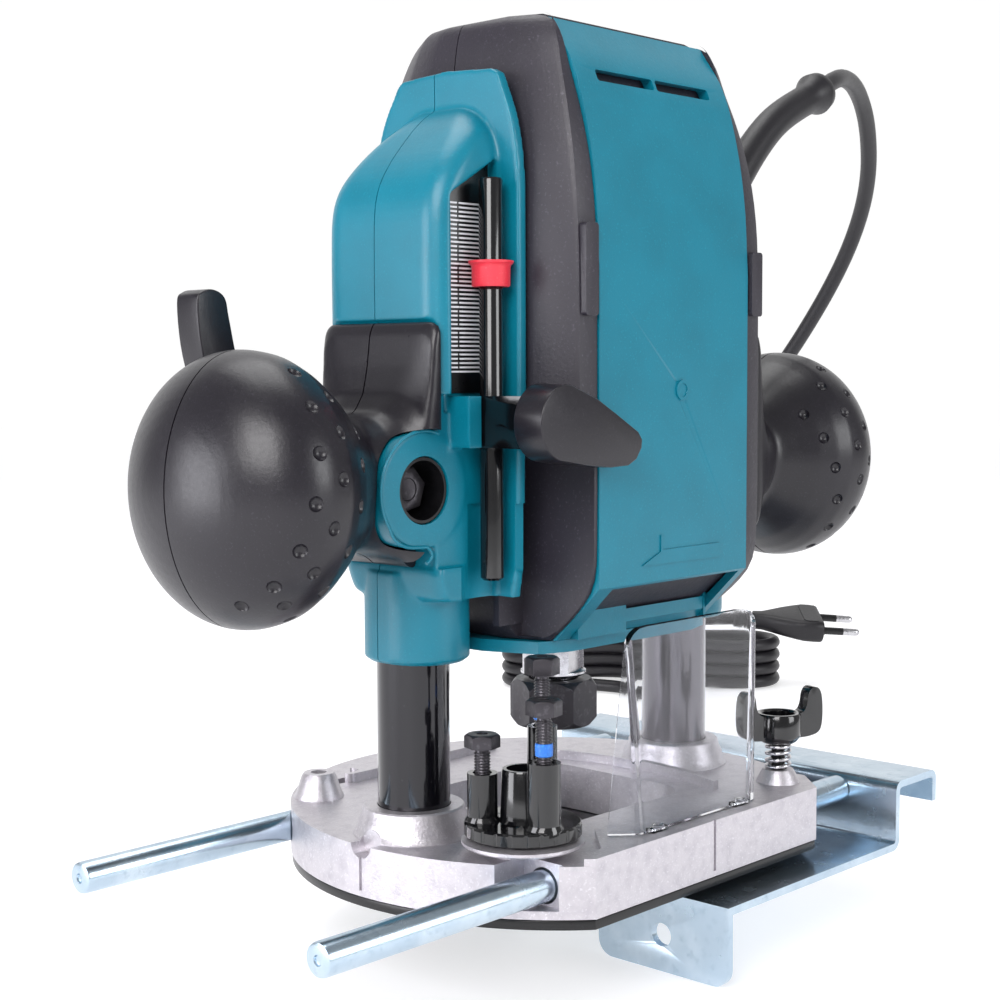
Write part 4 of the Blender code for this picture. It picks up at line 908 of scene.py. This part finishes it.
def knob_blank(sign):
    grip = lathe(knob_line()[::-1], (0, 0, KNOB_Z), (sign, 0, 0), 96)
    flare = []
    levels = (
        # reach, front, rear, low, high, corner radius
        (62.5, -21.4, 18.4, 81.9, 139.2, 3.0), (64.0, -21.5, 17.6, 82.0, 139.2, 4.0),
        (65.2, -21.4, 16.8, 82.4, 136.6, 5.5),
        (66.2, -21.2, 16.4, 83.4, 129.0, 8.0), (67.6, -20.8, 16.2, 84.2, 122.6, 10.5),
        (70.2, -20.0, 16.0, 85.2, 118.6, 12.5),
        (73.0, -19.0, 15.8, 86.2, 117.0, 13.5), (78.0, -17.4, 15.4, 87.0, 116.8, 14.0),
        (82.0, -16.0, 15.0, 87.6, 116.4, 14.2),
    )
    for x, front, rear, low, high, radius in levels:
        outline = rounded(front, low, rear, high, radius, 8)
        flare.append([(sign * x, y, z) for y, z in outline])
    neck = add(grip, skin(flare))
    return soften(neck, 0.62, 12)


def grip_radius(reach):
    line = knob_line()
    for (r0, x0), (r1, x1) in zip(line, line[1:]):
        if x1 <= reach <= x0 and x0 > x1:
            return r0 + (r1 - r0) * (x0 - reach) / (x0 - x1)
    return 16.0


def dimples(sign):
    """Three slanting rows of round dimples on the front of the grip; each moves outward as it goes down."""
    cluster = bmesh.new()
    for start, slant, high, low, count in (
        (93.0, 0.15, 32.0, -63.0, 6), (102.2, 0.12, 45.0, -51.0, 6), (108.4, 0.10, 57.0, -62.0, 7),
    ):
        for i in range(count):
            turn = high + (low - high) * i / (count - 1)
            reach = start - slant * turn
            slope = (grip_radius(reach + 0.5) - grip_radius(reach - 0.5))
            out = Vector((-slope, 1.0)).normalized() * 0.85
            radius = grip_radius(reach) + out.y
            a = math.radians(turn)
            spot = (sign * (reach + out.x), -radius * math.cos(a), KNOB_Z + radius * math.sin(a))
            ball = bmesh.new()
            bmesh.ops.create_icosphere(ball, subdivisions=3, radius=1.95)
            ball.transform(Matrix.Translation(spot))
            gather(cluster, ball)
    return cluster


def make_knobs():
    left = combine(
        knob_blank(-1),
        ("cut", dimples(-1)),
        ("cut", rod((LOCK_X, -60.0, LOCK_Z), 4.2, 120.0, TO_REAR)),
        ("cut", rod((LOCK_X, -3.8, LOCK_Z), 14.2, 40.0, TO_FRONT, sides=96)),
        ("cut", block((-66.4, -40.0, 80.0), (-60.0, -12.0, 91.0))),
    )
    halves("knob_left", left, "grip", "motor_unit", ("knob_left_front", "knob_left_rear"), 0.2)
    right = combine(
        knob_blank(1), ("cut", dimples(1)), ("cut", block((70.0, 8.0, 96.0), (85.0, 60.0, 110.0))),
    )
    halves("knob_right", right, "grip", "motor_unit", ("knob_right_front", "knob_right_rear"), 0.2)


make_knobs()


SPRING_POINTS = 24 * 16  # turns, points to a turn


def make_springs():
    """Coils that stand in the columns."""
    for side, x in (("left", -COLUMN_X), ("right", COLUMN_X)):
        wire = []
        for i in range(SPRING_POINTS + 1):
            a = i / 16 * math.tau
            wire.append((x + 4.6 * math.cos(a), 4.6 * math.sin(a), 7.2 + 159.6 * i / SPRING_POINTS))
        coil = piece(f"spring_coil_{side}", sweep(wire, 0.7, 8), "steel", "base", (f"plunge_spring_{side}",))
        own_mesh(coil)


make_springs()


# ---------------------------------------------------------------- depth stop and levers

POST_REACH = 9.5
POSTS = (
    # turn from +X, radius, top of the post, underside of the bolt's head, top of the head
    (133.0, 3.6, 34.0, 40.0, 43.2), (253.0, 3.9, 38.2, 49.2, 52.9), (13.0, 3.6, 43.4, 55.8, 60.0),
)


def threaded(low, high, outer, inner, pitch=0.7):
    """Half-outline of a screw thread, drawn as rings one pitch apart."""
    points = []
    z = low
    while z + pitch < high:
        points += [(inner, z), (outer, z + pitch * 0.35), (outer, z + pitch * 0.5), (inner, z + pitch * 0.85)]
        z += pitch
    return points + [(inner, high)]


def make_scale():
    plate = [(-58.9, 122.6), (-43.6, 122.6), (-43.6, 177.2), (-58.9, 168.2)]
    back = slab(plate, -18.0, -17.45, XZ)
    piece("scale_plate", bevelled(back, 0.15), "black", "motor_unit", ("depth_scale",))
    marks = bmesh.new()
    for i in range(40):
        z = 127.4 + i
        long = 0.0 if i % 5 else 0.5
        for low_x, high_x in ((-57.6, -54.4 + long), (-53.6, -46.6)):
            gather(marks, block((low_x, -18.3, z), (high_x, -17.9, z + 0.42)))
    piece("scale_marks", marks, "silver", "motor_unit")


def make_depth_stop():
    profile = [
        (0, 19.4), (13.4, 19.4), (13.9, 19.8), (13.9, 22.2), (13.5, 22.7), (6.0, 22.7), (5.4, 23.4),
        (5.0, 34.6),
        (4.8, 35.0), (0, 35.0),
    ]
    body = lathe(profile, (*TURRET, 0.0), sides=128)
    steps = []
    for i in range(24):
        steps.append(("cut", rod((*polar(TURRET, 14.5, 15 * i), 18.0), 0.85, 6.0, sides=16)))
    for turn, radius, top, _, _ in POSTS:
        x, y = polar(TURRET, POST_REACH, turn)
        post = lathe(
            [(0, 21), (radius + 0.7, 21), (radius + 0.6, 22.9), (radius, 23.8), (radius, top), (0, top)],
            (x, y, 0),
        )
        steps.append(("add", post))
    steps.append(("cut", rod((*TURRET, 27.0), 3.9, 20.0)))
    steps.append(("cut", rod((*TURRET, 10.0), 2.3, 40.0)))
    for turn, radius, top, _, _ in POSTS:
        x, y = polar(TURRET, POST_REACH, turn)
        steps.append(("cut", rod((x, y, top - 9.2), 2.3, 20.0, sides=24)))
    piece("turret_disc", bevelled(combine(body, *steps), 0.3, 2), "gloss", "turret", ("stopper_block",))
    screw = lathe(
        [
            (0, 15), (1.9, 15), (1.9, 27.4), (3.4, 27.4), (3.5, 27.9), (3.4, 30.2), (3.0, 30.6), (1.7, 30.6),
            (1.7, 29), (0, 29),
        ],
        (*TURRET, 0.0),
    )
    piece("turret_pivot", screw, "steel", "base", ("turret_screw",))
    for number, (turn, radius, top, low, high) in enumerate(POSTS, 1):
        x, y = polar(TURRET, POST_REACH, turn)
        head = slab(hexagon(7.4, turn), low, high, Matrix.Translation((x, y, 0.0)))
        crown = lathe(
            [
                (0, low), (4.35, low), (4.35, high - 0.6), (3.5, high), (1.4, high), (1.2, high - 0.3),
                (0, high - 0.3),
            ],
            (x, y, 0),
        )
        head = combine(head, ("keep", crown))
        body = f"turret_bolt_{number}"
        piece(f"bolt_head_{number}", bevelled(head, 0.12), "iron", body, (f"stop_bolt_{number}",))
        shank = [
            (0, top - 8.0), (1.55, top - 8.0), *threaded(top - 7.6, low - 0.4, 1.95, 1.6), (1.9, low + 0.2),
            (0, low + 0.2),
        ]
        piece(f"bolt_thread_{number}", lathe(shank, (x, y, 0), sides=32), "iron", body, (), 60)
        if number > 1:
            patch = [
                (1.5, top + 1.2), (2.06, top + 1.6), (2.1, top + 3.2), (2.04, top + 4.4), (1.5, top + 4.8),
            ]
            ring = lathe([(0, top + 1.2), *patch, (0, top + 4.8)], (x, y, 0), sides=32)
            piece(f"thread_lock_{number}", ring, "blue", body)


def make_pole():
    profile = [
        (0, 78.6), (2.2, 78.6), (2.8, 79.2), (2.8, 171.9), (2.5, 172.4), (2.1, 172.4), (1.9, 172.0),
        (0, 172.0),
    ]
    piece("stop_pole", lathe(profile, (*POLE, 0.0), sides=64), "gloss", "pole", ("stopper_pole",))
    profile = [
        (4.3, 147.3), (4.5, 147.6), (4.55, 151.6), (4.75, 152.3), (5.3, 152.8), (5.35, 153.3), (4.9, 153.4),
        (3.1, 153.0), (3.1, 147.3), (4.3, 147.3),
    ]
    piece("pointer_collar", lathe(profile, (*POLE, 0.0), sides=64), "red", "pointer", ("depth_pointer",))
    body = combine(
        block((-53.0, -37.6, 110.0), (-43.6, -18.6, 122.0)),
        ("cut", rod((*POLE, 100.0), 3.1, 40.0)),
        ("cut", rod((CLAMP_X, -27.2, CLAMP_Z), 2.4, 20.0, TO_FRONT)),
        (
            "add",
            lathe(
                [(5.6, 0), (5.6, 1.2), (2.4, 1.2), (2.4, 0), (5.6, 0)], (CLAMP_X, -37.4, CLAMP_Z), TO_FRONT,
            ),
        ),
    )
    piece("pole_guide", bevelled(body, 0.7, 3), "gloss", "motor_unit", ("pole_bracket",))


def upright(x, z):
    """Places an outline drawn in x and z about a pivot; its depth then runs to the front."""
    return Matrix.Translation((x, 0.0, z)) @ Matrix.Rotation(math.radians(90), 4, "X")


def teardrop(scale):
    """The clamp lever's outline about its screw: a round hub drawn out to a blunt tip."""
    sweep_in = arc(0, 0, 9.0 * scale, 62, 268, 20)
    tip = [
        (8.0, -10.2), (16.0, -10.9), (22.6, -10.7), (25.6, -9.3), (27.6, -6.6), (27.8, -4.6), (26.4, -2.8),
        (19.0, 1.2), (11.0, 5.4),
    ]
    return sweep_in + [(x * (0.5 + 0.5 * scale), y * (0.5 + 0.5 * scale)) for x, y in tip]


def make_levers():
    to_world = upright(CLAMP_X, CLAMP_Z)
    rings = []
    for depth, scale in ((39.0, 1.0), (47.2, 0.96)):
        rings.append([to_world @ Vector((x, y, depth)) for x, y in teardrop(scale)])
    lever = skin(rings)
    hub = lathe([(0, 0), (7.0, 0), (7.6, 0.5), (7.8, 3.4), (0, 3.4)], (CLAMP_X, -38.7, CLAMP_Z), TO_FRONT, 64)
    screw = rod((CLAMP_X, -27.6, CLAMP_Z), 2.0, 14.0, TO_FRONT)
    body = bevelled(add(lever, hub, screw), 0.6, 3, 40)
    piece("clamp_lever_moulding", body, "grip", "pole_clamp", ("clamp_lever",))

    to_world = upright(LOCK_X, LOCK_Z)
    route = [
        (8.0, 4.0), (2.0, 9.4), (-7.0, 17.0), (-12.5, 29.0), (-15.2, 40.0), (-16.4, 45.0), (-19.6, 46.9),
        (-23.2, 46.4), (-24.8, 43.6), (-23.4, 31.0), (-18.4, 17.0), (-11.0, 5.0), (-7.0, -5.0), (0.0, -8.8),
        (7.0, -4.6), (8.0, 4.0),
    ]
    outline = [(p.x, p.y) for p in curve_through(route, 5)][:-1]
    lever = slab(outline, -40.6, -32.2, to_world)
    hub = rod((LOCK_X, 19.6, LOCK_Z), 7.0, 14.0, TO_REAR, sides=64)
    lever = combine(lever, ("add", hub), ("cut", rod((LOCK_X, 10.0, LOCK_Z), 3.5, 22.4, TO_REAR)))
    piece("lock_paddle", bevelled(lever, 1.2, 4, 50), "grip", "column_lock", ("lock_lever",))
    screw = rod((LOCK_X, -13.0, LOCK_Z), 3.2, 45.0, TO_REAR, sides=64)
    head = combine(
        slab(hexagon(9.6, 12.0), 9.6, 13.4, to_world),
        ("cut", rod((LOCK_X, -14.6, LOCK_Z), 2.6, 3.0, TO_REAR)),
    )
    piece("lock_screw_head", bevelled(add(head, screw), 0.35, 2), "iron", "column_lock", ("lock_screw",))


make_scale()
make_depth_stop()
make_pole()
make_levers()
rocker = cut(
    block((71.0, 12.0, 97.0), (84.0, 19.0, 109.0)),
    rod((60.0, 22.5, 106.0), 4.2, 40.0, TO_RIGHT),
)
piece("rocker_cap", bevelled(rocker, 0.8, 3), "black", "switch", ("switch_rocker",))


# ---------------------------------------------------------------- base

def base_outline(radius, front, steps=150):
    start = math.degrees(math.asin(front / radius))
    return arc(0, 0, radius, start, 180 - start, steps)


def make_base():
    corner = math.sqrt(70.0 ** 2 - 53.0 ** 2)
    front = [
        (-corner, -53.0), (corner, -53.0), (corner + 9.6, -43.0), (corner + 9.6, -36.0), (-26.0, -36.0),
        (-38.0, -48.0), (-corner - 2.0, -51.0),
    ]
    steps = [("add", slab(front, 10.0, 16.7))]
    for side in (-1, 1):
        profile = [
            (0, 10), (15.4, 10), (15.0, 15.2), (14.0, 16.6), (13.7, 18.4), (12.9, 19.8), (12.5, 21.6),
            (12.1, 22.0), (0, 22),
        ]
        steps.append(("add", lathe(profile, (side * COLUMN_X, 0, 0), sides=96)))
    seat = [
        (0, 8), (8.0, 8), (7.4, 15.6), (8.6, 16.4), (14.2, 17.2), (14.6, 17.6), (14.6, 18.3), (12.4, 19.1),
        (0, 19.1),
    ]
    steps.append(("add", lathe(seat, (*TURRET, 0), sides=96)))
    for x, y, top in ((*WING, 20.2), (*FAR_BOSS, 21.6)):
        profile = [(0, 8), (7.0, 8), (6.6, 15.4), (6.0, 16.5), (4.6, top - 0.9), (4.0, top), (0, top)]
        steps.append(("add", lathe(profile, (x, y, 0))))
    steps.append(("add", slab(rounded(-30.0, 48.0, 30.0, 54.0, 2.0), 10.0, 17.5)))
    steps.append(("add", rod((-66.4, 0, 14.6), 3.2, 6.0, TO_RIGHT)))
    rail = curve_through([(-30.0, -30.0), (-34.0, -16.0), (-35.5, 0.0), (-34.0, 16.0), (-29.0, 31.0)], 5)
    wall = [(p.x, p.y) for p in rail] + [(p.x - 2.2, p.y) for p in reversed(rail)]
    steps.append(("add", slab(wall, 13.0, 17.6)))
    steps.append(("add", slab([(-x, y) for x, y in wall], 13.0, 17.6)))
    steps += [
        ("cut", slab(rounded(-27.0, -24.0, 27.0, 27.0, 9.0, 10), 0.0, 30.0)),
        ("cut", rod((-COLUMN_X, 0, 3.6), 9.1, 30.0, sides=96)),
        ("cut", rod((COLUMN_X, 0, 3.6), 9.1, 30.0, sides=96)),
    ]
    for y in (ROD_NEAR_Y, ROD_FAR_Y):
        steps.append(("cut", rod((-90.0, y, ROD_Z), 4.3, 180.0, TO_RIGHT, sides=64)))
    steps += [
        ("cut", block((-80.0, -47.0, 4.6), (-50.5, -35.0, 15.6))),
        ("cut", rod((-80.0, 0, 15.2), 3.4, 14.0, TO_RIGHT)),
        ("cut", block((-72.0, -0.5, 4.0), (-69.4, 0.5, 13.0))),
        ("cut", block((-0.5, -54.0, 4.0), (0.5, -52.4, 20.0))),
        ("cut", slab(rounded(-36.0, 50.0, -24.0, 54.5, 1.5), 9.0, 30.0)),
        ("cut", rod((*TURRET, 14.4), 2.3, 10.0)),
        ("cut", rod((*WING, 12.9), 2.4, 12.0)),
        ("cut", rod((*FAR_BOSS, 12.9), 2.1, 12.0)),
    ]
    for x, y in SOLE_SCREWS:
        steps.append(("cut", rod((x, y, 1.0), 1.8, 8.0)))
    body = combine(slab(base_outline(70.0, -53.0), 2.6, 15.0), *steps)
    piece("base_body_casting", bevelled(body, 0.55, 3, 28), "cast", "base", ("base_casting",), 40)

    plate = slab(base_outline(69.7, -52.7), 0.0, 2.3)
    plate = cut(plate, rod((0, 0, -2.0), 17.5, 8.0, sides=96))
    for x, y in SOLE_SCREWS:
        plate = cut(plate, rod((x, y, -0.4), 4.3, 2.0, top=2.1), rod((x, y, -0.5), 2.1, 4.0))
    piece("sole_sheet", bevelled(plate, 0.25), "black", "base", ("sole_plate",))

    for name, x, finish in (("left", -COLUMN_X, "column_dark"), ("right", COLUMN_X, "column_grey")):
        tube = lathe(
            [(7.1, 4.0), (8.5, 4.0), (8.9, 4.4), (8.9, 131.6), (8.5, 132.0), (7.1, 132.0), (7.1, 4.0)],
            (x, 0, 0), sides=128,
        )
        piece(f"column_{name}_tube", tube, finish, "base", (f"column_{name}",))


GUARD_FOOT, GUARD_HEIGHT, GUARD_CORNER, GUARD_SHEET = 17.0, 49.6, 6.5, 1.7


def make_deflector():
    """The clear chip guard: a thin bent sheet with round upper corners."""
    low = [
        (-29.4, -42.9), (-26.0, -46.2), (-23.4, -48.2), (-20.0, -48.6), (0.0, -48.6), (20.0, -48.6),
        (23.4, -48.2), (26.0, -46.2), (29.4, -42.9),
    ]
    high = [
        (-26.9, -45.6), (-26.5, -46.2), (-25.8, -46.6), (-22.0, -46.7), (0.0, -46.7), (22.0, -46.7),
        (25.8, -46.6), (26.5, -46.2), (26.9, -45.6),
    ]
    bm = bmesh.new()
    rings = []
    for t in (0.0, 0.015, *(i / 12 for i in range(1, 12)), 0.95, 0.98, 1.0):
        line = curve_through(
            [(a[0] + (b[0] - a[0]) * t, a[1] + (b[1] - a[1]) * t) for a, b in zip(low, high)], 5,
        )
        pairs = []
        for j, p in enumerate(line):
            along = (line[min(j + 1, len(line) - 1)] - line[max(j - 1, 0)]).normalized()
            past = max(0.0, abs(p.x) - 20.4)
            drop = GUARD_CORNER - math.sqrt(max(0.0, GUARD_CORNER ** 2 - min(past, 6.4) ** 2))
            z = GUARD_FOOT + t * (GUARD_HEIGHT - drop)
            inside = (p.x - along.y * GUARD_SHEET, p.y + along.x * GUARD_SHEET, z)
            pairs.append((bm.verts.new((p.x, p.y, z)), bm.verts.new(inside)))
        rings.append(pairs)
    for under, over in zip(rings, rings[1:]):
        for j in range(len(under) - 1):
            bm.faces.new((under[j][0], under[j + 1][0], over[j + 1][0], over[j][0]))
            bm.faces.new((under[j + 1][1], under[j][1], over[j][1], over[j + 1][1]))
        for j in (0, -1):
            bm.faces.new((under[j][0], over[j][0], over[j][1], under[j][1]))
    for ring in (rings[0], rings[-1]):
        for first, second in zip(ring, ring[1:]):
            bm.faces.new((first[0], second[0], second[1], first[1]))
    bmesh.ops.recalc_face_normals(bm, faces=bm.faces)
    piece("chip_guard", bm, "clear", "base", ("chip_deflector",))
    for x in (-17.0, 17.0):
        clip = add(block((x - 3.0, -49.4, 16.7), (x + 3.0, -46.4, 17.7)), rod((x, -48.0, 16.7), 1.7, 1.6))
        piece(f"guard_foot_{'left' if x < 0 else 'right'}", bevelled(clip, 0.2), "clear", "base")


make_base()
make_deflector()
dress("steel", "sole_screw_1", "sole_screw_2", "sole_screw_3", bevel=0)


# ---------------------------------------------------------------- spindle and collet nut

def make_spindle():
    profile = [
        (0, 36), (6.2, 36), (6.2, 47.0), (7.6, 47.0), (8.4, 47.4), (8.7, 47.8), (8.7, 56.0), (8.3, 56.4),
        (4.9, 57.0), (4.9, 200), (0, 200),
    ]
    shaft = lathe(profile, sides=96)
    turn = Matrix.Rotation(math.radians(20.0), 4, "Z")
    for flip in (0, math.pi):
        flat = block((-12.0, 6.5, 48.4), (12.0, 12.0, 56.2))
        flat.transform(turn @ Matrix.Rotation(flip, 4, "Z"))
        shaft = cut(shaft, flat)
    shaft = cut(shaft, rod((0, 0, 20.0), 4.6, 34.0))
    piece("spindle_shaft", bevelled(shaft, 0.25), "steel", "drive", ("spindle",))
    nut = slab(hexagon(20.0, 8.0), 34.0, 46.2)
    crown = lathe(
        [
            (0, 33.2), (9.4, 33.2), (10.4, 34.6), (11.7, 36.0), (11.7, 43.8), (10.7, 45.4), (9.6, 46.7),
            (0, 46.7),
        ],
        sides=96,
    )
    nut = combine(
        nut, ("keep", crown), ("cut", rod((0, 0, 35.6), 6.6, 20.0)), ("cut", rod((0, 0, 20.0), 4.9, 20.0)),
    )
    piece("collet_nut_hex", bevelled(nut, 0.3, 3), "iron", "nut", ("collet_nut",))
    sleeve = lathe([(2.4, 33.8), (3.6, 33.8), (4.3, 35.4), (4.3, 52.6), (2.4, 52.6), (2.4, 33.8)], sides=64)
    piece("collet_sleeve", sleeve, "steel", "drive", ("collet_cone",))
    dress("steel", "bearing_lower", "bearing_upper", bevel=0.2)


make_spindle()
dress("iron", "stator", bevel=0.4)
dress("copper", "armature", bevel=0.3)
dress("black", "cooling_fan", bevel=0)
dress("brass", "brush_holder_left", "brush_holder_right", bevel=0.2)


# ---------------------------------------------------------------- straight guide

def bent_sheet():
    """The guide seen from the front: fence foot, shelf under the sole, web, upper shelf and lip."""
    outer = [(-4.0, -3.2)] + arc(74.0, -2.2, 1.0, 270, 360, 4) + arc(78.0, 11.0, 3.0, 180, 90, 5)
    outer += arc(94.4, 11.4, 2.6, 90, 0, 5) + [(97.0, 5.0)]
    inner = [(95.0, 5.0)] + arc(94.4, 11.4, 0.6, 0, 90, 3) + arc(77.8, 11.2, 0.8, 90, 180, 3)
    inner += arc(74.0, -2.2, 3.0, 360, 270, 5) + [(-4.0, -5.2)]
    return outer + inner


def make_guide():
    plate = slab(bent_sheet(), -60.0, 62.3, XZ)
    steps = []
    for near, far in ((-60.0, -19.0), (21.3, 62.3)):
        outline = [(far, -3.9), (near, -3.9)] + arc(
            near + 4.5, -19.1, 4.5, 180, 270, 8,
        ) + arc(far - 4.5, -19.1, 4.5, 270, 360, 8)
        steps.append(("add", slab(outline, -4.0, -2.0, YZ)))
        steps.append(("add", slab([(near, -3.3), (far, -3.3), (far, -4.9), (near, -4.9)], -4.0, -0.8, YZ)))
        steps.append(("cut", rod((-9.0, (near + far) / 2, -14.2), 3.0, 12.0, TO_RIGHT)))
    steps.append(("cut", slab(rounded(-20.0, -19.0, 26.0, 21.3, 10.0, 10), -12.0, 4.0)))
    for y in (ROD_NEAR_Y, ROD_FAR_Y):
        steps.append(("cut", rod((70.0, y, 8.0), 2.6, 12.0, TO_RIGHT)))
    body = combine(plate, *steps)
    piece("guide_sheet", bevelled(body, 0.35, 3), "zinc", "guide", ("guide_plate",))
    for name, y in (("near", ROD_NEAR_Y), ("far", ROD_FAR_Y)):
        length = 194.1
        profile = [
            (0, 0.7), (1.0, 0.5), (1.2, 0.0), (3.0, 0.0), (3.6, 0.25), (3.8, 0.9), (3.8, length), (0, length),
        ]
        bar = cut(lathe(profile, (-119.5, y, ROD_Z), TO_RIGHT, 64), rod((62.6, y, 8.0), 2.1, 16.0, TO_RIGHT))
        piece(f"rod_{name}", bar, "zinc", "guide", (f"guide_rod_{name}",))
        profile = [
            (0, -9), (1.7, -9), (1.7, 2.7), (3.9, 2.7), (4.0, 3.0), (3.9, 4.2), (3.2, 5.2), (2.2, 5.6),
            (0, 5.6),
        ]
        head = cut(
            lathe(profile, (75.0, y, 8.0), TO_RIGHT, 48),
            block((79.4, y - 0.5, 5.4), (82.0, y + 0.5, 10.6)), block((79.4, y - 2.6, 7.5), (82.0, y + 2.6, 8.5)),
        )
        piece(f"web_screw_{name}", bevelled(head, 0.12), "steel", "guide", (f"rod_screw_{name}",))


COIL_TURNS = 4


def make_wing_bolt():
    profile = [
        (0, 13.4), (1.7, 13.4), *threaded(14.0, 26.6, 2.0, 1.7), (2.0, 27.2), (4.2, 27.4), (5.0, 27.9),
        (6.0, 29.2), (6.1, 29.8),
        (6.1, 35.0), (5.8, 35.5), (5.0, 35.5), (4.5, 35.0), (4.4, 31.5), (0, 31.3),
    ]
    body = lathe(profile, (*WING, 0.0), sides=64)
    route = [
        (5.0, 28.4), (8.6, 28.6), (11.4, 29.4), (12.6, 31.4), (12.9, 35.6), (12.5, 39.8), (11.4, 41.6),
        (9.6, 41.7), (8.4, 40.2), (7.9, 37.4), (7.0, 35.6), (5.0, 34.8),
    ]
    outline = [(p.x, p.y) for p in curve_through(route, 4)]
    for side in (0, 180):
        to_world = (
            Matrix.Translation((*WING, 0.0)) @ Matrix.Rotation(math.radians(side - 23.5), 4, "Z")
            @ Matrix.Rotation(math.radians(90), 4, "X")
        )
        body = add(body, slab(outline, -1.9, 1.9, to_world))
    piece("wing_bolt_head", bevelled(body, 0.8, 4, 42), "gloss", "wing_screw", ("wing_bolt",))
    count = COIL_TURNS * 36
    turns = []
    for i in range(count + 1):
        t = i / count
        lift = min(max((t - 0.12) / 0.76, 0.0), 1.0)
        turns.append((*polar(WING, 3.1, t * COIL_TURNS * 360.0), 20.9 + 5.6 * lift))
    piece("wing_coil", sweep(turns, 0.5, 12), "steel", "base", ("wing_spring",))


make_guide()
make_wing_bolt()


# ---------------------------------------------------------------- floor and light

def area_light(name, place, target, size, power, colour=(1.0, 1.0, 1.0), height=None):
    data = bpy.data.lights.new(name, "AREA")
    data.shape = "RECTANGLE"
    data.size = size
    data.size_y = height or size
    data.energy = power
    data.color = colour
    lamp = bpy.data.objects.new(name, data)
    lamp.location = place
    lamp.rotation_euler = (Vector(target) - Vector(place)).to_track_quat("-Z", "Y").to_euler()
    bpy.context.scene.collection.objects.link(lamp)


def make_studio():
    bm = bmesh.new()
    bmesh.ops.create_grid(bm, x_segments=1, y_segments=1, size=6.0)
    mesh = bpy.data.meshes.new("floor")
    bm.to_mesh(mesh)
    bm.free()
    floor = bpy.data.objects.new("floor", mesh)
    floor.location = (0.0, 0.0, -0.0004)
    bpy.context.scene.collection.objects.link(floor)
    paper = Finish(
        "white_paper", (0.62, 0.62, 0.64), 0.7, Emission_Color=(1.0, 1.0, 1.0, 1.0), Emission_Strength=0.56,
    )
    mesh.materials.append(paper.material)
    world = bpy.data.worlds.new("studio")
    world.use_nodes = True
    world.node_tree.nodes["Background"].inputs["Color"].default_value = (1.0, 1.0, 1.0, 1.0)
    world.node_tree.nodes["Background"].inputs["Strength"].default_value = 0.34
    bpy.context.scene.world = world
    bpy.context.scene.view_settings.view_transform = "Standard"
    area_light("key", (-1.0, -0.45, 0.75), (0.0, 0.0, 0.12), 0.7, 12.0, (1.0, 0.985, 0.99))
    area_light("front", (0.35, -1.25, 0.5), (0.0, 0.0, 0.10), 0.6, 6.5, (0.97, 0.985, 1.0))
    area_light("top", (0.1, 0.3, 1.3), (0.0, 0.0, 0.10), 0.8, 6.5)
    area_light("low_left", (-0.9, 0.35, 0.18), (0.0, 0.0, 0.10), 0.5, 5.0, (0.95, 0.95, 1.0))
    wall = bpy.data.objects.new("backdrop", mesh.copy())
    wall.data.materials.clear()
    glow = Finish(
        "backdrop_white", (0.0, 0.0, 0.0), 1.0, Emission_Color=(1.0, 1.0, 1.0, 1.0), Emission_Strength=1.0,
    )
    wall.data.materials.append(glow.material)
    wall.location = (2.9, 2.7, 0.0)
    wall.rotation_euler = (math.radians(90), 0.0, math.radians(-47))
    bpy.context.scene.collection.objects.link(wall)


make_studio()
